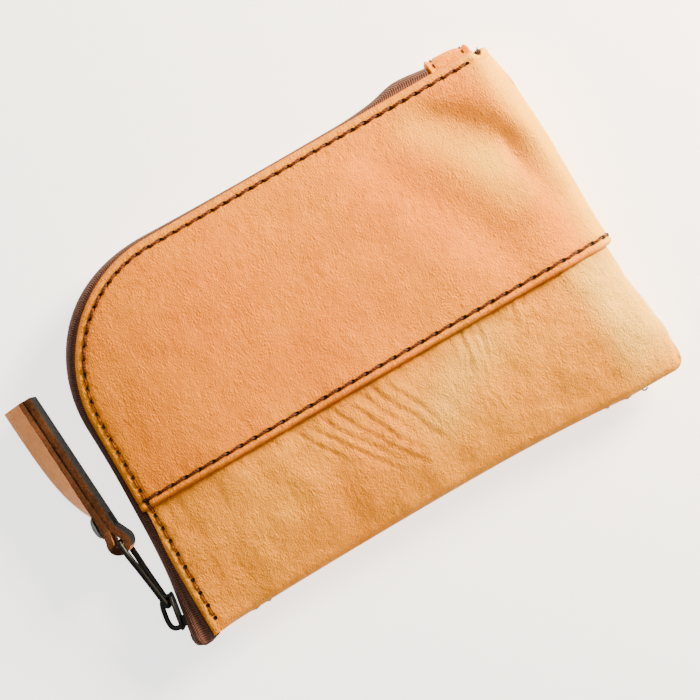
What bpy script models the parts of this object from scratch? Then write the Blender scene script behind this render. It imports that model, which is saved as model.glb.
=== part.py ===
"""Zippered leather pouch, lying on its back: two lapped leather panels folded in half at the right,
an L-shaped coil zip round the left and top, and a riveted leather pull on a wire link.

Metres, +X from the zip's left side to the fold, +Y from the bottom seam to the zipped top, +Z up
through the front. The origin is the middle of the flat place on the back that the pouch rests on.
"""
import math

import bmesh
import bpy
from mathutils import Matrix, Vector

MM = 0.001

# Body of the pouch. Plan places are measured from the bottom left corner of the leather.
LENGTH = 122.3 * MM            # zipped left edge to the side fold
HEIGHT = 85.0 * MM             # bottom seam to the zipped top edge
FULLNESS = 17.0 * MM           # thickness at the middle
MID_Z = 8.0 * MM               # height of the zip's and the bottom seam's middle
CORNER_RADIUS = 31.0 * MM      # big rounded corner that the zip runs round
LEATHER = 1.1 * MM
GAP = 0.3 * MM                 # clearance between pieces that touch
ZIP_GAP = 11.0 * MM            # outer face to outer face of the leather along the zip
SEAM_THICKNESS = 4.2 * MM      # both sides of the bottom seam together
SEAM_CORNER_EXTRA = 2.6 * MM   # more at its left end, which the zip's end holds open
FRONT_SWELL = 22.0 * MM        # how far from the zip the front keeps rising
BACK_SWELL = 16.0 * MM
BOTTOM_SWELL = 28.0 * MM
FOLD_DEPTH = 15.0 * MM         # how far the side fold's roll reaches in, and what is left at the top
FOLD_DEPTH_TOP = 5.0 * MM
BOTTOM_CORNER_RADIUS = 4.0 * MM
TOP_CORNER_RADIUS = 0.8 * MM
REST_PLACE = (60.0 * MM, 56.0 * MM)

# Lapped seam across both panels.
SEAM_Y = 33.8 * MM             # stitch line
TURNED_EDGE = 2.1 * MM         # stitch line down to the upper panel's turned edge
LAP_UNDER = 4.2 * MM           # stitch line up to the lower panel's hidden edge
STITCH_GROOVE = 0.6 * MM
THREAD_RADIUS = 0.15 * MM

# Zip.
COIL_WIDTH = 1.55 * MM         # one half of the chain, across the zip
COIL_THICKNESS = 1.6 * MM
CHAIN_GAP = 1.1 * MM           # slot between the halves that the slider's web runs in
TAPE = 0.5 * MM
TAPE_UNDER = 5.0 * MM          # tape hidden under the leather
ZIP_STITCH = 2.2 * MM          # stitch row in from the leather's edge
ZIP_THREAD_RADIUS = 0.25 * MM
TAB_LENGTH = 10.7 * MM         # leather patch over the zip's far end
TAB_FROM_FOLD = 16.8 * MM      # start of that patch, back from the full length
TAB_LEATHER = 0.9 * MM
STOP_LENGTH = 1.5 * MM

# Slider, wire link and leather pull.
SLIDER_Y = 8.1 * MM
SLIDER_LENGTH = 8.9 * MM
SLIDER_WIDTH = 6.6 * MM
SLIDER_PLATE = 0.7 * MM
INNER_PLATE_WIDTH = 2.4 * MM
SLIDER_PLAY_IN = 1.3 * MM      # play under and over the coil, for the zip's slight curve
SLIDER_PLAY_OUT = 0.4 * MM
WEB = 0.5 * MM
BAIL_RADIUS = 0.5 * MM
BAIL_HEIGHT = 2.5 * MM
LINK_RADIUS = 0.7 * MM
LINK_LENGTH = 18.0 * MM
LINK_LEAN = math.radians(6.2)
STRAP_WIDTH = 8.6 * MM
STRAP_LEATHER = 1.3 * MM
STRAP_LENGTH = 38.5 * MM       # loop's middle to the far end of the tails
STRAP_LOOP = 1.5 * MM          # inner radius round the link
STRAP_TILT = math.radians(6.0)
TAIL_SPLAY = math.radians(33.0)
RIVET_UP = 5.3 * MM            # loop's middle to the rivet
RIVET_RADIUS = 1.0 * MM
RIVET_HEAD = 2.9 * MM
RIVET_DOME = 1.3 * MM

# Materials: colour (linear), roughness, metallic.
TAN = ("vegetable_tanned_leather", (0.80, 0.42, 0.19, 1), 0.5, 0)
TAPE_CLOTH = ("woven_tape", (0.075, 0.04, 0.035, 1), 0.9, 0)
NYLON = ("nylon_coil", (0.09, 0.045, 0.035, 1), 0.45, 0)
THREAD = ("waxed_thread", (0.035, 0.017, 0.011, 1), 0.6, 0)
BLACK_METAL = ("blackened_metal", (0.03, 0.03, 0.03, 1), 0.4, 1)
GREY_METAL = ("antique_nickel", (0.26, 0.26, 0.26, 1), 0.35, 1)

TAB_START = LENGTH - TAB_FROM_FOLD
SLIDER_TOP = SLIDER_Y + SLIDER_LENGTH / 2
HINGE_START = Vector((0, SLIDER_TOP + 4.5 * MM))
HINGE_END = Vector((TAB_START - 1.5 * MM, HEIGHT - 0.5 * MM))
HINGE_DIRECTION = (HINGE_END - HINGE_START).normalized()
STRAIGHT = HEIGHT - CORNER_RADIUS
ARC = CORNER_RADIUS * math.pi / 2


# ---------------------------------------------------------------- helpers

def clamp(value, low=0.0, high=1.0):
    return max(low, min(high, value))


def smooth(value):
    t = clamp(value)
    return t * t * (3 - 2 * t)


def curve_through(knots, at):
    """Smooth curve through (place, value) knots, with slopes taken across each knot."""
    last = len(knots) - 1
    if at <= knots[0][0]:
        return knots[0][1]
    if at >= knots[last][0]:
        return knots[last][1]
    i = max(k for k in range(last) if knots[k][0] <= at)
    (x0, y0), (x1, y1) = knots[i], knots[i + 1]
    before, after = knots[max(i - 1, 0)], knots[min(i + 2, last)]
    slope0 = (y1 - before[1]) / (x1 - before[0])
    slope1 = (after[1] - y0) / (after[0] - x0)
    width = x1 - x0
    t = (at - x0) / width
    return ((2 * t**3 - 3 * t**2 + 1) * y0 + (t**3 - 2 * t**2 + t) * width * slope0
            + (3 * t**2 - 2 * t**3) * y1 + (t**3 - t**2) * width * slope1)


def spread(low, high, count):
    return [low + (high - low) * i / (count - 1) for i in range(count)]


def to_frame(x, y, z):
    return Vector((x - REST_PLACE[0], y - REST_PLACE[1], z))


def material(spec):
    name, colour, roughness, metallic = spec
    found = bpy.data.materials.get(name)
    if found:
        return found
    made = bpy.data.materials.new(name)
    made.use_nodes = True
    shader = made.node_tree.nodes["Principled BSDF"]
    shader.inputs["Base Color"].default_value = colour
    shader.inputs["Roughness"].default_value = roughness
    shader.inputs["Metallic"].default_value = metallic
    return made


def finish_object(name, data, spec):
    data.materials.append(material(spec))
    made = bpy.data.objects.new(name, data)
    bpy.context.scene.collection.objects.link(made)
    return made


def mesh_object(name, bm, spec, smooth_angle=40):
    bmesh.ops.recalc_face_normals(bm, faces=bm.faces)
    mesh = bpy.data.meshes.new(name)
    bm.to_mesh(mesh)
    bm.free()
    mesh.shade_smooth()
    mesh.set_sharp_from_angle(angle=math.radians(smooth_angle))
    return finish_object(name, mesh, spec)


def loft(name, rings, spec):
    """Closed solid through rings of points. Each end is capped by a ladder across the ring."""
    bm = bmesh.new()
    rows = [[bm.verts.new(p) for p in ring] for ring in rings]
    count = len(rings[0])
    for low, high in zip(rows, rows[1:]):
        for i in range(count):
            j = (i + 1) % count
            bm.faces.new((low[i], low[j], high[j], high[i]))
    for ring in (rows[0], rows[-1]):
        for i in range(count // 2 - 1):
            bm.faces.new((ring[i], ring[i + 1], ring[count - 2 - i], ring[count - 1 - i]))
    return mesh_object(name, bm, spec)


def tube(name, points, radius, spec, closed=False, sides=2):
    data = bpy.data.curves.new(name, "CURVE")
    data.dimensions = "3D"
    data.bevel_depth = radius
    data.bevel_resolution = sides
    data.use_fill_caps = not closed
    spline = data.splines.new("POLY")
    spline.points.add(len(points) - 1)
    for point, place in zip(spline.points, points):
        point.co = (*place, 1)
    spline.use_cyclic_u = closed
    return finish_object(name, data, spec)


def hide_as_tool(tool):
    tool.hide_render = True
    tool.display_type = "WIRE"
    return tool


def box(name, size, matrix, spec=BLACK_METAL):
    bm = bmesh.new()
    bmesh.ops.create_cube(bm, size=1, matrix=matrix @ Matrix.Diagonal((*size, 1)))
    return mesh_object(name, bm, spec)


def boolean(target, tool, operation):
    cut = target.modifiers.new(operation.lower(), "BOOLEAN")
    cut.solver = "EXACT"
    cut.operation = operation
    cut.object = tool


# ---------------------------------------------------------------- surfaces of the leather

def left_x(y):
    """Zipped edge of the leather at height y: straight, then round the big corner."""
    up = clamp(y - STRAIGHT, 0, CORNER_RADIUS)
    return CORNER_RADIUS - math.sqrt(CORNER_RADIUS**2 - up**2)


def fold_line(y):
    """Outermost line of the side fold, drawn in towards the top, before its corners are rounded."""
    x = LENGTH + 1.3 * MM * math.exp(-((y - 9 * MM) / (13 * MM)) ** 2)
    return x - 2.8 * MM * max(y / HEIGHT - 0.65, 0) ** 2 / 0.35**2


def fold_start(y):
    """Where the front and back end and the fold's roll begins."""
    shallower = smooth((y / HEIGHT - 0.6) / 0.4)
    return fold_line(y) - FOLD_DEPTH + (FOLD_DEPTH - FOLD_DEPTH_TOP) * shallower


def fold_depth(y):
    """How far the roll reaches out from its start, less at the two rounded corners."""
    low = max(BOTTOM_CORNER_RADIUS - y, 0)
    high = max(y - HEIGHT + TOP_CORNER_RADIUS, 0)
    cut = BOTTOM_CORNER_RADIUS - math.sqrt(max(BOTTOM_CORNER_RADIUS**2 - low**2, 0))
    cut += TOP_CORNER_RADIUS - math.sqrt(max(TOP_CORNER_RADIUS**2 - high**2, 0))
    return fold_line(y) - fold_start(y) - cut


def bottom_bow(x, y):
    """The bottom seam bows up a little in the middle and dips at the fold."""
    t = x / LENGTH - 0.57
    reach = 0.57 if t < 0 else 0.41
    dip = (1.3 if t < 0 else 2.7) * MM
    return (0.8 * MM - dip * (t / reach) ** 2) * (1 - smooth(y / SEAM_Y))


def zip_distance(x, y):
    """How far a place is inside the zipped edge."""
    if x < CORNER_RADIUS and y > STRAIGHT:
        return max(CORNER_RADIUS - math.hypot(x - CORNER_RADIUS, y - STRAIGHT), 0)
    return max(min(x, HEIGHT - y), 0)


def rise(distance, width):
    return 1 - (1 - clamp(distance / width)) ** 2


def side_height(x, y, full_height, swell):
    """Outer face above or below the middle plane: from the seam and the zip's edge up to full height."""
    edge = ZIP_GAP / 2
    full = edge + (full_height - edge) * rise(zip_distance(x, y), swell)
    seam = (SEAM_THICKNESS + SEAM_CORNER_EXTRA * (1 - smooth(x / (14 * MM)))) / 2
    return seam + (full - seam) * math.sin(math.pi / 2 * clamp(y / BOTTOM_SWELL))


def front_height(x, y):
    return side_height(x, y, FULLNESS - MID_Z, FRONT_SWELL)


def back_height(x, y):
    return side_height(x, y, MID_Z, BACK_SWELL)


def lap_inset(y):
    """How far the lower panel lies inside the upper one: nothing at the bottom, a layer at the seam."""
    return (LEATHER + GAP) * smooth((y - 8 * MM) / (SEAM_Y - 16 * MM))


def stitch_dip(y):
    return STITCH_GROOVE if abs(y - SEAM_Y) < 0.7 * MM else 0


def panel_columns(y):
    """Places across a panel, closer together near the zip, where the leather curves most."""
    start = left_x(y)
    end = fold_start(y) - GAP / 2
    return [start + (end - start) * u**1.2 for u in spread(0, 1, 12)]


def panel_ring(y, side, inset, dip):
    """One row of a front or back panel: outer points, then inner points back again."""
    height = front_height if side > 0 else back_height
    xs = panel_columns(y)
    outer = [(x, height(x, y) - inset - dip) for x in xs]
    inner = [(x, height(x, y) - inset - LEATHER) for x in reversed(xs)]
    return [to_frame(x, y + bottom_bow(x, y), MID_Z + side * z) for x, z in outer + inner]


def fold_ring(y, inset, dip):
    """One row of the side fold: half an ellipse from the front round to the back."""
    depth = fold_depth(y)
    centre = fold_start(y)
    front = front_height(centre, y)
    back = back_height(centre, y)
    start = math.asin(clamp(GAP / 2 / depth))
    angles = spread(start, math.pi - start, 13)

    def points(shrink, order):
        found = []
        for a in order:
            half = front if a < math.pi / 2 else back
            x = centre + (depth - shrink) * math.sin(a)
            found.append(to_frame(x, y + bottom_bow(x, y), MID_Z + (half - shrink) * math.cos(a)))
        return found

    return points(inset + dip, angles) + points(inset + LEATHER, reversed(angles))


def lower_rows():
    top = SEAM_Y + LAP_UNDER
    near_bottom = [0, 1 * MM, 2.2 * MM, 4 * MM, 8 * MM, 12 * MM]
    return near_bottom + spread(16 * MM, top, 7)


def upper_rows():
    """Rows of the upper panel: the stitch groove, the straight, then even steps round the corner."""
    groove = [SEAM_Y + d * MM for d in (-1.0, -0.6, 0.6, 1.0)]
    straight = spread(SEAM_Y + 5 * MM, STRAIGHT, 3)
    corner = [STRAIGHT + CORNER_RADIUS * math.sin(math.radians(a)) for a in (15, 30, 45, 60, 72, 82)]
    return [SEAM_Y - TURNED_EDGE] + groove + straight + corner + [HEIGHT]


def hinge_tool(name, start):
    """Box over everything on the opening side of the mouth's hinge line."""
    reach = 2 * (LENGTH + HEIGHT)
    across = Vector((-HINGE_DIRECTION.y, HINGE_DIRECTION.x))
    centre = HINGE_START + across * (start + reach / 2)
    turn = Matrix.Rotation(math.atan2(HINGE_DIRECTION.y, HINGE_DIRECTION.x), 4, "Z")
    place = Matrix.Translation(to_frame(centre.x, centre.y, MID_Z)) @ turn
    return hide_as_tool(box(name, (2 * reach, reach, 6 * FULLNESS), place))


def leather_panels():
    keep = hinge_tool("hinge_keep_tool", GAP / 2)
    remove = hinge_tool("hinge_remove_tool", -GAP / 2)
    levels = (("upper", upper_rows(), lambda y: 0, stitch_dip),
              ("lower", lower_rows(), lap_inset, lambda y: 0))
    for level, rows, inset, dip in levels:
        loft(f"back_{level}_panel", [panel_ring(y, -1, inset(y), dip(y)) for y in rows], TAN)
        loft(f"side_fold_{level}", [fold_ring(y, inset(y), dip(y)) for y in rows], TAN)
        front = [panel_ring(y, 1, inset(y), dip(y)) for y in rows]
        boolean(loft(f"front_{level}_panel", front, TAN), remove, "DIFFERENCE")
        boolean(loft(f"front_{level}_corner", front, TAN), keep, "INTERSECT")


# ---------------------------------------------------------------- zip

def edge_frame(s):
    """Place on the leather's zipped edge and the outward direction there."""
    if s < STRAIGHT:
        return Vector((0, s)), Vector((-1, 0))
    if s < STRAIGHT + ARC:
        a = (s - STRAIGHT) / CORNER_RADIUS
        out = Vector((-math.cos(a), math.sin(a)))
        return Vector((CORNER_RADIUS, STRAIGHT)) + out * CORNER_RADIUS, out
    return Vector((CORNER_RADIUS + s - STRAIGHT - ARC, HEIGHT)), Vector((0, 1))


def path_at_top(x):
    """Path length at a place on the straight top."""
    return STRAIGHT + ARC + x - CORNER_RADIUS


ZIP_START = -0.5 * MM
ZIP_END = path_at_top(TAB_START - GAP)
# Further out past the lap if the leather leaves the chain too little room there.
CROWDING = max(CHAIN_GAP / 2 + COIL_WIDTH + 2 * LEATHER + 4 * GAP - ZIP_GAP / 2, 0)
CHAIN_KNOTS = [(-1, 4.6), (3.7, 3.9), (8.1, 3.2), (12.5, 2.5), (16, 2.0)]
CHAIN_KNOTS = [(s * MM, n * MM) for s, n in CHAIN_KNOTS] + [
    (22 * MM, 1.5 * MM + CROWDING), (30 * MM, 1.2 * MM + CROWDING),
    (STRAIGHT - 8 * MM, 1.0 * MM + CROWDING), (STRAIGHT + ARC / 2, 2.0 * MM),
    (STRAIGHT + ARC, 0.4 * MM), (ZIP_END - 24 * MM, 0.1 * MM), (ZIP_END - 15 * MM, 0.8 * MM),
    (ZIP_END - 8 * MM, 2.2 * MM), (ZIP_END, 1.5 * MM)]


def chain_out(s):
    """How far outside the leather's edge the coil's middle runs."""
    return curve_through(CHAIN_KNOTS, s)


def tape_height(s, inward=0):
    """Tape's middle under the leather, this far in from its edge, above or below the middle plane."""
    edge, out = edge_frame(max(s, 0))
    place = edge - out * inward
    past_lap = smooth((place.y - SEAM_Y - LAP_UNDER - MM) / (6 * MM))
    inset = lap_inset(place.y) * (1 - past_lap)
    return front_height(place.x, place.y) - inset - LEATHER - GAP - TAPE / 2


def path_point(s, n, z):
    edge, out = edge_frame(s)
    place = edge + out * n
    return to_frame(place.x, place.y, MID_Z + z)


def tape_ring(s, side):
    """Across the tape: from the coil, over the leather's edge and under it."""
    n = chain_out(s)
    z = tape_height(s)
    start = CHAIN_GAP / 2 + COIL_WIDTH + 1.5 * GAP
    climb = z - start
    middle = [(n, start), (0.9 * n, start + 0.4 * max(climb, 0)),
              (0.5 * n - 0.1 * MM, start + climb * (0.75 if climb > 0 else 0.5)),
              (-0.6 * MM, z), (-TAPE_UNDER, tape_height(s, TAPE_UNDER))]
    normals = []
    for i in range(len(middle)):
        a = Vector(middle[max(i - 1, 0)])
        b = Vector(middle[min(i + 1, len(middle) - 1)])
        along = (b - a).normalized()
        normals.append(Vector((along.y, -along.x)))
    outer = [Vector(p) + k * TAPE / 2 for p, k in zip(middle, normals)]
    inner = [Vector(p) - k * TAPE / 2 for p, k in zip(middle, normals)]
    return [path_point(s, p.x, side * p.y) for p in outer + inner[::-1]]


def coil_ring(s, side):
    """Six-sided section of one half of the coil chain."""
    n = chain_out(s)
    z = side * (CHAIN_GAP + COIL_WIDTH) / 2
    half = COIL_THICKNESS / 2
    flat = 0.6 * COIL_WIDTH / 2
    across = [(-half, -flat), (-half, flat), (0, COIL_WIDTH / 2), (half, flat), (half, -flat),
              (0, -COIL_WIDTH / 2)]
    return [path_point(s, n + a, z + b) for a, b in across]


def stations(low, high):
    """Path places: close where the zip bends, wider apart on the straight."""
    marks = [STRAIGHT + ARC * i / 8 for i in range(9)]
    marks += [m * MM for m in (2, 5, 8, 11, 14, 17, 22, 30)]
    marks += [SEAM_Y + LAP_UNDER + m * MM for m in (1, 4, 7)]
    marks += [ZIP_END - m * MM for m in (48, 32, 24, 19, 15, 11, 7, 4)]
    inside = sorted(m for m in marks if low + MM < m < high - MM)
    return [low] + inside + [high]


def hinge_crossings(inward):
    """Path places where the mouth's hinge line is crossed, this far inside the leather's edge."""
    slope = HINGE_DIRECTION.y / HINGE_DIRECTION.x
    low = HINGE_START.y + slope * inward
    high = HINGE_END.x - (HINGE_END.y - HEIGHT + inward) / slope
    return low, path_at_top(high)


def zip_pieces():
    low, high = hinge_crossings(TAPE_UNDER)
    low += 0.3 * MM
    high -= 0.3 * MM
    coil_start = 2.6 * MM
    spans = (("back_zip_tape", tape_ring, -1, ZIP_START, ZIP_END, TAPE_CLOTH),
             ("front_tape_start", tape_ring, 1, ZIP_START, low - GAP, TAPE_CLOTH),
             ("front_zip_tape", tape_ring, 1, low, high, TAPE_CLOTH),
             ("front_tape_end", tape_ring, 1, high + GAP, ZIP_END, TAPE_CLOTH),
             ("back_zip_coil", coil_ring, -1, coil_start, ZIP_END, NYLON),
             ("front_coil_start", coil_ring, 1, coil_start, low - GAP, NYLON),
             ("front_zip_coil", coil_ring, 1, low, high, NYLON),
             ("front_coil_end", coil_ring, 1, high + GAP, ZIP_END, NYLON))
    for name, ring, side, start, end, spec in spans:
        loft(name, [ring(s, side) for s in stations(start, end)], spec)
    stop_end = coil_start - GAP
    stop_rows = (stop_end - STOP_LENGTH, stop_end)
    loft("front_top_stop", [coil_ring(s, 1) for s in stop_rows], GREY_METAL)
    loft("back_top_stop", [coil_ring(s, -1) for s in stop_rows], GREY_METAL)
    bottom_stop()


def tab_half():
    """Half the height of the leather patch, under the panels' edges."""
    return tape_height(path_at_top(TAB_START)) + TAPE / 2 - 0.75 * MM


def bottom_stop():
    """Crimp across both halves at the far end, under the leather patch."""
    start = ZIP_END + GAP
    half_width = tab_half() - TAB_LEATHER - 2.2 * GAP
    half = 0.3 * COIL_THICKNESS
    inward = chain_out(ZIP_END) - 1.6 * MM
    corners = [(inward - half, -half_width), (inward + half, -half_width),
               (inward + half, half_width), (inward - half, half_width)]
    rows = (start, start + STOP_LENGTH)
    loft("bottom_stop", [[path_point(s, n, z) for n, z in corners] for s in rows], GREY_METAL)


def arch_ring(s, out, half_height, inward, thickness):
    """Section of a strip that arches over the zip from under one panel to under the other."""
    angles = spread(-math.pi / 2, math.pi / 2, 7)

    def line(shrink):
        legs_out = [((out - shrink) * math.cos(a), (half_height - shrink) * math.sin(a)) for a in angles]
        low = (-inward, -(half_height - shrink))
        high = (-inward, half_height - shrink)
        return [low] + legs_out + [high]

    return [path_point(s, n, z) for n, z in line(0) + line(thickness)[::-1]]


def zip_end():
    """Leather patch that closes the zip at the fold, and the tape's short tail beyond it."""
    start = path_at_top(TAB_START)
    half = tab_half()
    rows = spread(start, start + TAB_LENGTH, 4)
    bulges = [2.6 * MM, 2.5 * MM, 2.2 * MM, 1.6 * MM]
    halves = [half, half, 0.97 * half, 0.86 * half]
    rings = [arch_ring(s, out, high, 3.0 * MM, TAB_LEATHER) for s, out, high in zip(rows, bulges, halves)]
    loft("zip_end_tab", rings, TAN)
    tail = TAB_START + TAB_LENGTH + GAP
    tail_end = fold_start(HEIGHT) + 0.94 * (fold_depth(HEIGHT) - LEATHER)
    room = 0.34 * (ZIP_GAP / 2 - LEATHER) - 2 * GAP
    rings = [arch_ring(path_at_top(x), 0.8 * MM, room, 2.0 * MM, TAPE) for x in (tail, tail_end)]
    loft("zip_tape_tail", rings, TAPE_CLOTH)
    for name, along in (("end_tab_thread_left", 1.7 * MM), ("end_tab_thread_right", TAB_LENGTH - 1.7 * MM)):
        s = start + along
        lift = GAP + THREAD_RADIUS
        out = curve_through(list(zip(rows, bulges)), s) + lift
        angles = spread(-1.1, 1.1, 9)
        points = [path_point(s, out * math.cos(a), (half + lift) * math.sin(a)) for a in angles]
        tube(name, points, THREAD_RADIUS, THREAD, sides=1)


# ---------------------------------------------------------------- thread rows

def zip_thread(name, side, start, end):
    """Stitch row along the zip, lying on the leather."""
    height = front_height if side > 0 else back_height
    points = []
    for s in stations(start, end):
        edge, out = edge_frame(s)
        place = edge - out * ZIP_STITCH
        lift = height(place.x, place.y) + GAP + ZIP_THREAD_RADIUS
        points.append(to_frame(place.x, place.y, MID_Z + side * lift))
    tube(name, points, ZIP_THREAD_RADIUS, THREAD, sides=1)


def seam_thread(name, side, start, end):
    """Stitch row of the lapped seam, lying in its groove."""
    height = front_height if side > 0 else back_height
    lift = GAP + THREAD_RADIUS - STITCH_GROOVE
    xs = [start] + [x for x in panel_columns(SEAM_Y) if start + MM < x < end - MM] + [end]
    points = [to_frame(x, SEAM_Y, MID_Z + side * (height(x, SEAM_Y) + lift)) for x in xs]
    tube(name, points, THREAD_RADIUS, THREAD, sides=1)


def threads():
    low, high = hinge_crossings(ZIP_STITCH)
    first = 3.5 * MM
    last = path_at_top(TAB_START + TAB_LENGTH) - FOLD_DEPTH_TOP
    above_lap = SEAM_Y - TURNED_EDGE
    zip_thread("front_zip_thread_start", 1, first, low - GAP)
    zip_thread("front_zip_thread", 1, low + GAP, high - GAP)
    zip_thread("front_zip_thread_end", 1, high + GAP, last)
    zip_thread("back_zip_thread", -1, max(first, above_lap / 4), last)
    slope = HINGE_DIRECTION.y / HINGE_DIRECTION.x
    crossing = (SEAM_Y - HINGE_START.y) / slope
    seam_end = fold_start(SEAM_Y) - MM
    seam_thread("front_seam_thread_corner", 1, 4 * MM, crossing - GAP)
    seam_thread("front_seam_thread", 1, crossing + GAP, seam_end)
    seam_thread("back_seam_thread", -1, 4 * MM, seam_end)
    xs = spread(8 * MM, LENGTH - 8 * MM, 9)
    points = [to_frame(x, 0.3 * MM + bottom_bow(x, 0), MID_Z) for x in xs]
    tube("bottom_seam_thread", points, THREAD_RADIUS, THREAD, sides=1)


# ---------------------------------------------------------------- slider, link and pull

SLIDER_LEAN = math.atan2(chain_out(SLIDER_Y - SLIDER_LENGTH / 2) - chain_out(SLIDER_TOP), SLIDER_LENGTH)
SLIDER_ALONG = Vector((math.sin(SLIDER_LEAN), math.cos(SLIDER_LEAN)))
SLIDER_OUT = Vector((-math.cos(SLIDER_LEAN), math.sin(SLIDER_LEAN)))
PLATE_IN = COIL_THICKNESS / 2 + GAP + SLIDER_PLAY_OUT
PLATE_OUT = PLATE_IN + SLIDER_PLATE
BAR_OUT = PLATE_OUT + GAP + LINK_RADIUS
BAR_ALONG = 1.9 * MM


def slider_plan(along, out):
    """Plan place from distances along the slider and out from the coil's middle."""
    return Vector((-chain_out(SLIDER_Y), SLIDER_Y)) + SLIDER_ALONG * along + SLIDER_OUT * out


def slider_matrix(along, out):
    place = slider_plan(along, out)
    axes = Matrix(((SLIDER_OUT.x, SLIDER_ALONG.x, 0), (SLIDER_OUT.y, SLIDER_ALONG.y, 0), (0, 0, -1)))
    return Matrix.Translation(to_frame(place.x, place.y, MID_Z)) @ axes.to_4x4()


def slider():
    """Outer plate, inner plate and the web between them that parts the coil's halves."""
    inner = -COIL_THICKNESS / 2 - GAP - SLIDER_PLAY_IN
    web_along = -SLIDER_LENGTH / 2 + 1.8 * MM
    outer_size = (SLIDER_PLATE, SLIDER_LENGTH, SLIDER_WIDTH)
    body = box("slider_body", outer_size, slider_matrix(0, PLATE_IN + SLIDER_PLATE / 2))
    inner_size = (SLIDER_PLATE, SLIDER_LENGTH, INNER_PLATE_WIDTH)
    plate = box("slider_inner_tool", inner_size, slider_matrix(0, inner - SLIDER_PLATE / 2))
    web_size = (PLATE_IN - inner + SLIDER_PLATE, 2.6 * MM, WEB)
    web = box("slider_web_tool", web_size, slider_matrix(web_along, (PLATE_IN + inner) / 2))
    boolean(body, hide_as_tool(web), "UNION")
    boolean(body, hide_as_tool(plate), "UNION")
    ends = 3.7 * MM
    arch = [(-ends, GAP), (-ends, 1.3 * MM), (-0.85 * ends, 2.0 * MM), (-0.6 * ends, 2.4 * MM),
            (0, BAIL_HEIGHT), (0.6 * ends, 2.4 * MM), (0.85 * ends, 2.0 * MM), (ends, 1.3 * MM),
            (ends, GAP)]
    points = []
    for along, out in arch:
        place = slider_plan(along, PLATE_OUT + out)
        points.append(to_frame(place.x, place.y, MID_Z))
    tube("slider_bail", points, BAIL_RADIUS, BLACK_METAL, sides=2)


BAR = slider_plan(BAR_ALONG, BAR_OUT)
LINK_ALONG = Vector((-math.sin(LINK_LEAN), math.cos(LINK_LEAN)))
LINK_END = BAR + LINK_ALONG * LINK_LENGTH


def link():
    """Closed wire loop: narrow in the bail, wide enough at the far end for the strap."""
    near = SLIDER_WIDTH / 2 - 0.9 * MM
    far = STRAP_WIDTH / 2 + GAP + LINK_RADIUS
    bend = 1.0 * MM

    def at(along, z):
        place = BAR + LINK_ALONG * along
        return to_frame(place.x, place.y, MID_Z + z)

    side = [(0, near - bend), (0.3 * bend, near - 0.3 * bend), (bend, near),
            (LINK_LENGTH - 4 * bend, far), (LINK_LENGTH - bend, far),
            (LINK_LENGTH - 0.3 * bend, far - 0.3 * bend), (LINK_LENGTH, far - bend)]
    points = [at(a, z) for a, z in side] + [at(a, -z) for a, z in reversed(side)]
    tube("pull_link", points, LINK_RADIUS, BLACK_METAL, closed=True)


def strap_path():
    """Middle line of the strap's upper edge in plan, and its tilt: left tail, loop, right tail."""
    loop = LINK_END + Vector((-0.45 * MM, 0))
    radius = STRAP_LOOP + STRAP_LEATHER / 2
    apart = STRAP_LEATHER / 2 + 0.2 * MM
    lean = -2.4 * MM / STRAP_LENGTH
    left = []
    right = []
    for up in spread(STRAP_LENGTH, RIVET_UP - 1.5 * MM, 7):
        t = clamp((up - RIVET_UP) / (STRAP_LENGTH - RIVET_UP))
        middle = loop + Vector((lean * up - 0.25 * MM, up))
        left.append((middle + Vector((-apart - 0.2 * MM * t, 0)), TAIL_SPLAY * t**1.3 - STRAP_TILT * (1 - t)))
        right.append((middle + Vector((apart + 0.2 * MM * t, 0)), -STRAP_TILT))
    bend = [(loop + radius * Vector((-math.cos(a), -math.sin(a))), -STRAP_TILT)
            for a in spread(-0.5, math.pi + 0.5, 13)]
    return left + bend + right[::-1]


def strap():
    """One leather strap, on its edge, folded round the link with its two tails riveted together."""
    path = strap_path()
    top = STRAP_WIDTH / 2
    rings = []
    for i, (place, tilt) in enumerate(path):
        before = path[max(i - 1, 0)][0]
        after = path[min(i + 1, len(path) - 1)][0]
        along = (after - before).normalized()
        side = Vector((along.y, -along.x, 0))
        down = Vector((-math.sin(tilt), 0, -math.cos(tilt)))
        thick = (side - down * side.dot(down)).normalized() * STRAP_LEATHER / 2
        upper = to_frame(place.x, place.y, MID_Z + top)
        lower = upper + down * STRAP_WIDTH
        rings.append([upper - thick, upper + thick, lower + thick, lower - thick])
    made = loft("pull_strap", rings, TAN)
    hole = round_bar("rivet_hole_tool", rivet_place(-8 * MM), rivet_place(8 * MM), RIVET_RADIUS + GAP)
    boolean(made, hide_as_tool(hole), "DIFFERENCE")


def rivet_place(out):
    """Place on the rivet's axis, out to the right of the tails' middle."""
    middle = LINK_END + Vector((-0.7 * MM - 2.4 * MM * RIVET_UP / STRAP_LENGTH, RIVET_UP))
    shift = math.sin(STRAP_TILT) * STRAP_WIDTH / 2
    return to_frame(middle.x + shift + out, middle.y, MID_Z)


def round_bar(name, start, end, radius, spec=GREY_METAL):
    bm = bmesh.new()
    turn = Matrix.Rotation(math.pi / 2, 4, "Y")
    place = Matrix.Translation((start + end) / 2) @ turn
    bmesh.ops.create_cone(bm, cap_ends=True, segments=20, radius1=radius, radius2=radius,
                          depth=(end - start).length, matrix=place)
    return mesh_object(name, bm, spec)


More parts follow.
